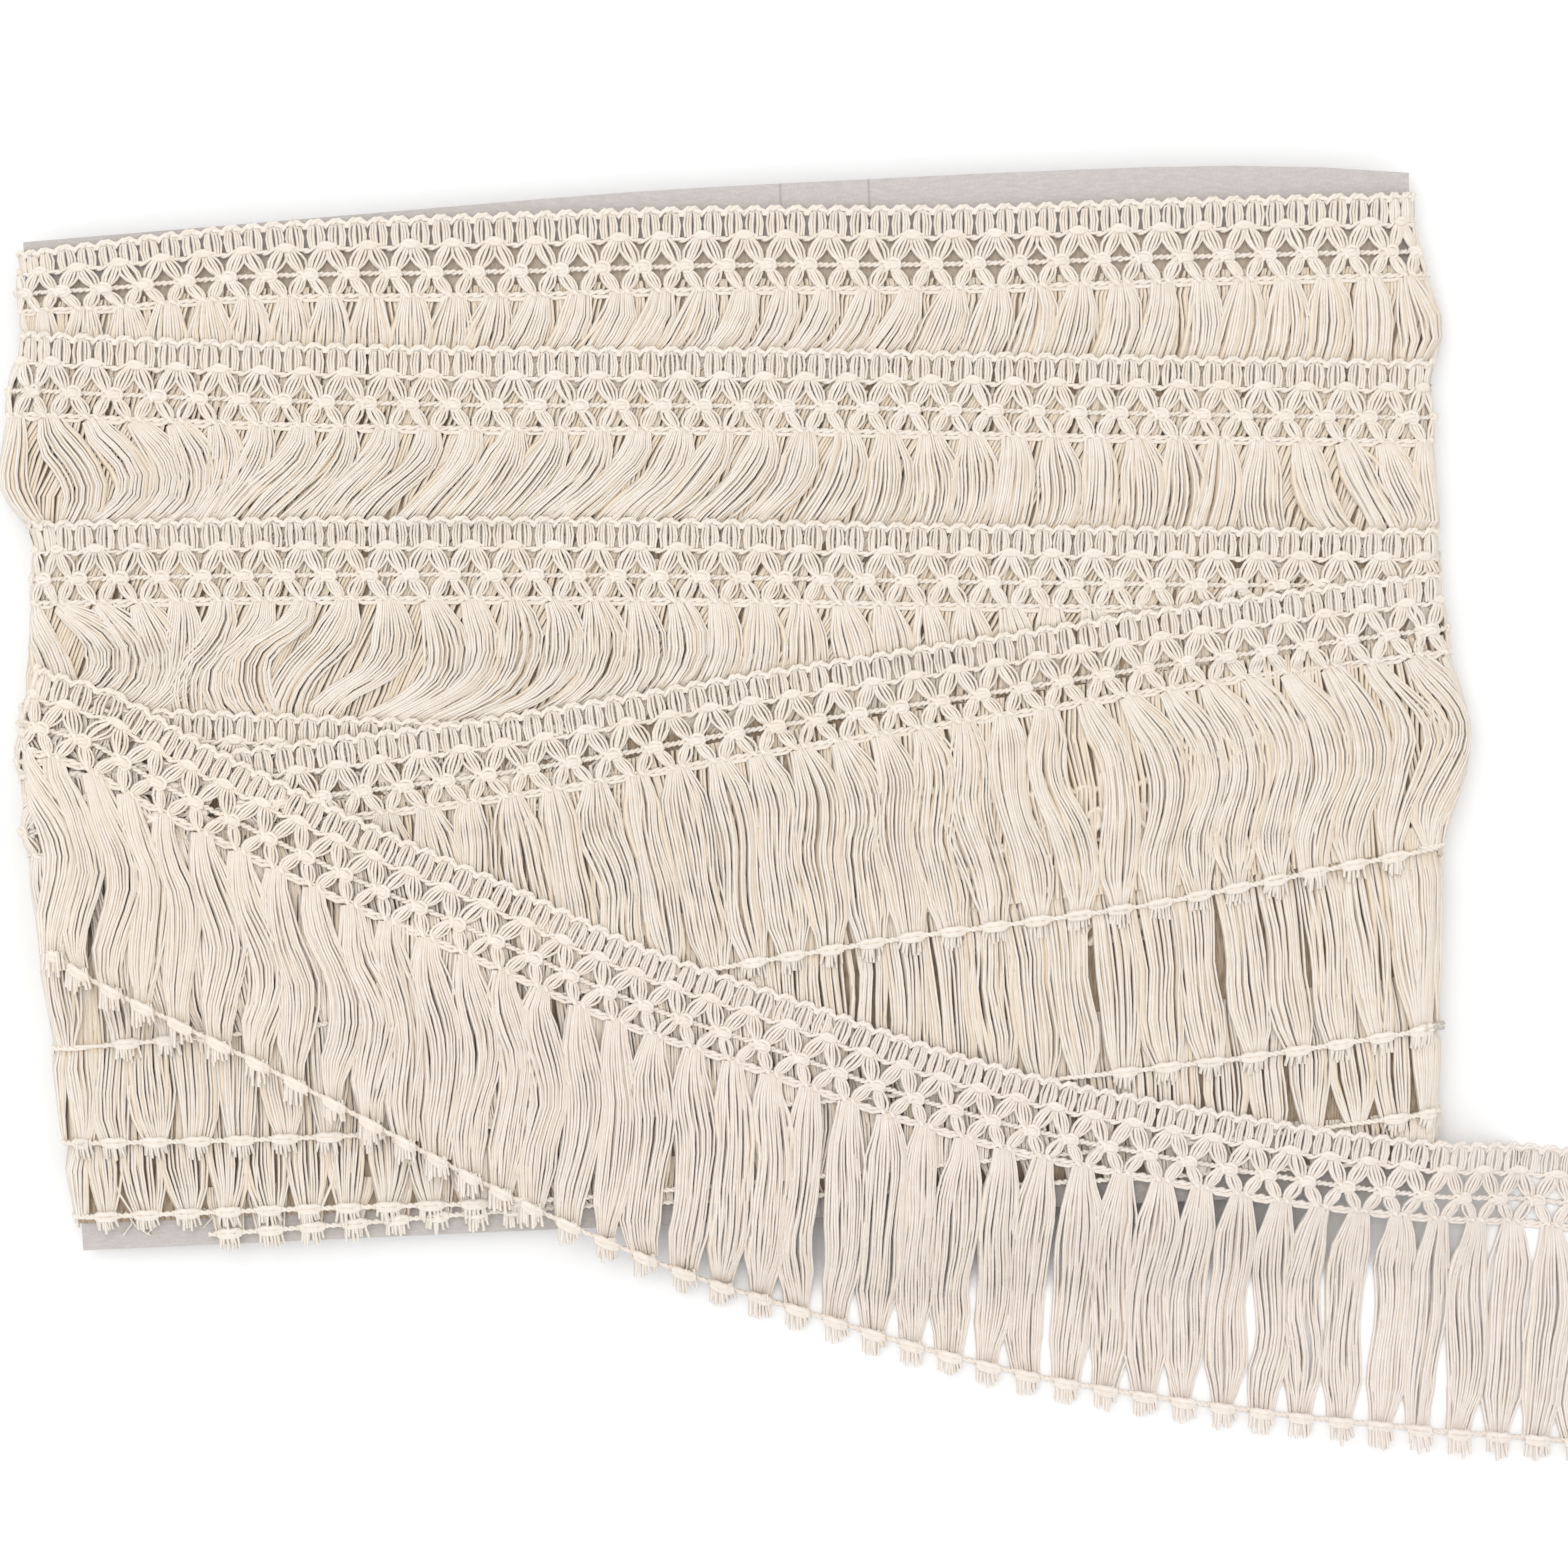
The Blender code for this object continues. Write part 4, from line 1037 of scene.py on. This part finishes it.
def addFillers(yarns, carrier, untilY, lean, start=9.0, look=fillerLook):
    # threads of the turns beneath, which show through the holes, painted darker as shade
    u = np.arange(-156, 156, look["gap"])
    u = u + dice.normal(0, 0.2, len(u))
    x, y = carrier.flat(u, np.full_like(u, start))
    share = np.linspace(0, 1, look["points"])[None, :]
    low = untilY(x)
    py = y[:, None] + (low - y)[:, None] * share
    px = x[:, None] + (py - y[:, None]) * -math.tan(math.radians(lean))
    px = px + look["sway"] * np.sin(px * 0.35 + py * 0.3 + dice.random(px[:, :1].shape))
    height = 0.05 + 0.3 * dice.random(px[:, :1].shape) + 0 * px
    toneAndShade = look["toneAndShade"] * (0.75 + 0.4 * dice.random(len(u)))
    yarns.add(carrier.lift(px, py, -0.35 + height), look["radius"], toneAndShade)


addFillers(rows["aLocks"], front["a"], lambda x: frontEdge("b", x) - 3.0, -6.0, start=15.5)
addFillers(rows["bLocks"], front["b"], lambda x: frontEdge("c", x) - 3.0, -25.0)
addFillers(rows["cLocks"], front["c"], lambda x: frontEdge("e", x) - 3.0, -25.0)
addFillers(rows["eLocks"], front["e"], lambda x: frontEdge("g", x) - 24.0, 4.0, start=14.0)

# Back turns, coarser
print("back turns")
backYarns, backLocks = Yarns(), Yarns()
back = {name: Wound("back", name) for name in backTurns}
nextEdge = {"a": "b", "b": "c", "c": "e"}
backLeans = ((-150, 4, -6, -12, -8, 0, 0, 0), (0, -3, 8, 12, 5, 0, 0, 0), (150, 0, -6, -10, 0, 0, 0, 0))
for name in ("a", "b", "c", "e"):
    addHeading(backYarns, back[name], wholeRow, rowPhase[name], coarse=True)
for name in ("a", "b", "c"):
    below = nextEdge[name]
    addLocks(backLocks, back[name], backLeans, rootsOf(wholeRow, name), under=0, top=12, points=6,
             untilY=lambda x, below=below: backEdge(below, x) - 4.0)
backLower = (("e", 0.0, 12, 8), ("g", 26.0, 9, 5), ("h", 30.0, 9, 5), ("i", 36.0, 9, 5))
for name, skip, threads, points in backLower:  # part that lies hidden, threads and points of a lock
    roots = rootsOf(wholeRow, name)
    foot = woundFoot(back[name])
    addLocks(backLocks, back[name], leans["g"], roots, skip=skip, feet=foot(roots), under=0, top=threads,
             points=points)
    addEndChain(backLocks, back[name], wholeRow, rowPhase[name], foot, coarse=True)

# Loose end
print("loose end")
looseHeading, looseCords, looseLocks = Yarns(), Yarns(), Yarns()
looseCells = np.arange(-loose["turned"], loose["locks"])
looseRoots = (looseCells + 0.5) * trim["pitch"]
addHeading(looseHeading, looseEnd, looseCells, cords=looseCords, strip=looseLocks)
addLocks(looseLocks, looseEnd, leans["loose"], looseRoots, look=hangingLook, jitter=6.0,
         feet=looseEnd.footAt(looseRoots))
addEndChain(looseLocks, looseEnd, looseCells, 0.0, looseEnd.footAt, rise=loose["tuftRise"],
            bold=loose["bold"])


# Inner winding: a sleeve coloured dark brown as painted shade of the cream turns beneath, which shows
# through the gaps
coreLook = {
    "columns": 60,
    "rows": 44,
    "inset": 1.3,
    "clear": 0.12,  # over the card's faces
    "top": 7.2,  # its upper end, under row a's picot edge
    "foot": -103.5,
    "strands": 2200.0,
    # dark and light: the cream cotton beneath painted in shade, mixed by a strand pattern
    "dark": (0.34, 0.25, 0.17),
    "light": (0.60, 0.48, 0.36),
    "upperLessShade": (0.84, 0.75, 0.64),  # lighter, painted lesser shade under the first turn, where little lies over it
    "upperFrom": 0.083,  # metres along y
    "upperTo": 0.092,
    "upperShare": 0.62,
}


def buildCore():
    # one closed sleeve a little inside the outermost turns, round the card
    look = coreLook
    end, half = layers["flatEnd"], card["halfLength"]
    fold = np.linspace(end, end + layers["foldLength"], 10)
    us = np.concatenate([-fold[:0:-1], np.linspace(-end, end, look["columns"]), fold[1:]])
    shares = np.linspace(0, 1, look["rows"])
    rings = []
    for side, order in (("front", us), ("back", us[::-1])):
        turns = Wound(side, "e")
        top = frontEdge("a", order) if side == "front" else backEdge("a", order)
        top = top - look["top"]
        bottom = np.full_like(order, look["foot"])
        y = top[:, None] + (bottom - top)[:, None] * shares[None, :]
        u = np.broadcast_to(order[:, None], y.shape)
        outer = turns.lift(u, y, np.full(y.shape, -look["inset"]))
        face = card["face"] + look["clear"] if side == "front" else card["back"] - look["clear"]
        flat = np.abs(u) < half
        limit = np.maximum(outer[..., 2], face) if side == "front" else np.minimum(outer[..., 2], face)
        outer[..., 2] = np.where(flat, limit, outer[..., 2])
        rings.append(outer[1:] if side == "back" else outer)
    rings[1] = rings[1][:-1]
    columns = np.concatenate(rings)
    inner = columns.copy()
    inner[..., 0] = np.clip(inner[..., 0], -half - 0.15, half + 0.15)
    inner[..., 2] = np.clip(inner[..., 2], card["back"] - 0.1, card["face"] + 0.1)
    count, rows = columns.shape[:2]
    points = columns.reshape(-1, 3)
    faces = []
    for i in range(count):
        j = (i + 1) % count
        for k in range(rows - 1):
            a, b = i * rows + k, j * rows + k
            faces.append((a, a + 1, b + 1, b))
    slotTop, slotFoot = inner[:, 0], inner[:, -1]
    start = len(points)
    points = np.concatenate([points, slotTop, slotFoot])
    for i in range(count):
        j = (i + 1) % count
        faces.append((i * rows, j * rows, start + j, start + i))
        faces.append((j * rows + rows - 1, i * rows + rows - 1, start + count + i, start + count + j))
        faces.append((start + i, start + j, start + count + j, start + count + i))
    data = bpy.data.meshes.new("innerWinding")
    data.from_pydata([tuple(p * mm) for p in points], [], faces)
    data.validate()
    data.materials.append(coreShadeMaterial())
    data.shade_smooth()
    piece = bpy.data.objects.new("innerWinding", data)
    bpy.context.scene.collection.objects.link(piece)
    return piece


def coreShadeMaterial():
    material, tree, shader = newMaterial("inner cotton")
    node, link = tree.nodes.new, tree.links.new
    place, stretch = node("ShaderNodeTexCoord"), node("ShaderNodeMapping")
    strands = node("ShaderNodeTexNoise")
    stretch.inputs["Scale"].default_value = (1.0, 0.12, 0.3)
    strands.inputs["Scale"].default_value = coreLook["strands"]
    strands.inputs["Detail"].default_value = 4.0
    tones, bump = node("ShaderNodeValToRGB"), node("ShaderNodeBump")
    tones.color_ramp.elements[0].position, tones.color_ramp.elements[1].position = 0.35, 0.62
    tones.color_ramp.elements[0].color = (*coreLook["dark"], 1)
    tones.color_ramp.elements[1].color = (*coreLook["light"], 1)
    # the upper part is mixed towards a lighter colour, painted lesser shade
    axes, reach, paler = node("ShaderNodeSeparateXYZ"), node("ShaderNodeMapRange"), node("ShaderNodeMix")
    reach.inputs["From Min"].default_value = coreLook["upperFrom"]
    reach.inputs["From Max"].default_value = coreLook["upperTo"]
    reach.inputs["To Max"].default_value = coreLook["upperShare"]
    paler.data_type = "RGBA"
    paler.inputs["B"].default_value = (*coreLook["upperLessShade"], 1)
    link(place.outputs["Object"], axes.inputs["Vector"])
    link(axes.outputs["Y"], reach.inputs["Value"])
    link(reach.outputs["Result"], paler.inputs["Factor"])
    link(tones.outputs["Color"], paler.inputs["A"])
    bump.inputs["Strength"].default_value = 0.8
    bump.inputs["Distance"].default_value = 0.0006
    link(place.outputs["Object"], stretch.inputs["Vector"])
    link(stretch.outputs["Vector"], strands.inputs["Vector"])
    link(strands.outputs["Fac"], tones.inputs["Fac"])
    link(strands.outputs["Fac"], bump.inputs["Height"])
    link(paler.outputs["Result"], shader.inputs["Base Color"])
    link(bump.outputs["Normal"], shader.inputs["Normal"])
    shader.inputs["Roughness"].default_value = 0.95
    return material


print("sweeping the yarns")
pieces = {name: yarns.build(name, naturalCotton) for name, yarns in rows.items() if yarns.lines}
for name, yarns, cotton, sides in (
    ("backHeadings", backYarns, naturalCotton, yarnLook["backSides"]),
    ("backLocks", backLocks, naturalCotton, yarnLook["backSides"]),
    ("looseHeading", looseHeading, washedCotton, yarnLook["ropeSides"]),
    ("looseCords", looseCords, washedCotton, yarnLook["ropeSides"]),
    ("looseFringe", looseLocks, washedCotton, yarnLook["ropeSides"]),
):
    pieces[name] = yarns.build(name, cotton, sides)
pieces["innerWinding"] = buildCore()
total = 0
for piece in pieces.values():
    piece.data.calc_loop_triangles()
    total += len(piece.data.loop_triangles)
    print(piece.name, len(piece.data.loop_triangles), "triangles")
    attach(piece, "root")
print("triangles in all", total)
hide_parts("wound_trim")
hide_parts("loose_heading")
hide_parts("loose_fringe")

# Studio: pale floor, one large soft lamp above on the left and a bright even surround
studio = {
    "floor": 3.0,
    "floorColour": (0.95, 0.95, 0.95),
    "sky": 0.96,
    "lampPower": 7.2,
    "lampSize": 1.0,
    "lampPlace": (-0.30, 0.40, 1.55),
}
half = studio["floor"] / 2
floorData = bpy.data.meshes.new("floor")
corners = [(-half, -half, 0), (half, -half, 0), (half, half, 0), (-half, half, 0)]
floorData.from_pydata(corners, [], [(0, 1, 2, 3)])
floor = bpy.data.objects.new("floor", floorData)
bpy.context.scene.collection.objects.link(floor)
floorMaterial, floorTree, floorShader = newMaterial("pale floor")
floorShader.inputs["Base Color"].default_value = (*studio["floorColour"], 1)
floorShader.inputs["Roughness"].default_value = 0.9
floorData.materials.append(floorMaterial)
world = bpy.data.worlds.new("studio")
bpy.context.scene.world = world
world.use_nodes = True
world.node_tree.nodes["Background"].inputs["Color"].default_value = (1, 1, 1, 1)
world.node_tree.nodes["Background"].inputs["Strength"].default_value = studio["sky"]
lampData = bpy.data.lights.new("softbox", "AREA")
lampData.shape = "SQUARE"
lampData.size = studio["lampSize"]
lampData.energy = studio["lampPower"]
lamp = bpy.data.objects.new("softbox", lampData)
lamp.location = studio["lampPlace"]
lamp.rotation_euler = (-Vector(studio["lampPlace"])).to_track_quat("-Z", "Y").to_euler()
bpy.context.scene.collection.objects.link(lamp)
bpy.context.scene.view_settings.view_transform = "Standard"

print("all pieces in place")
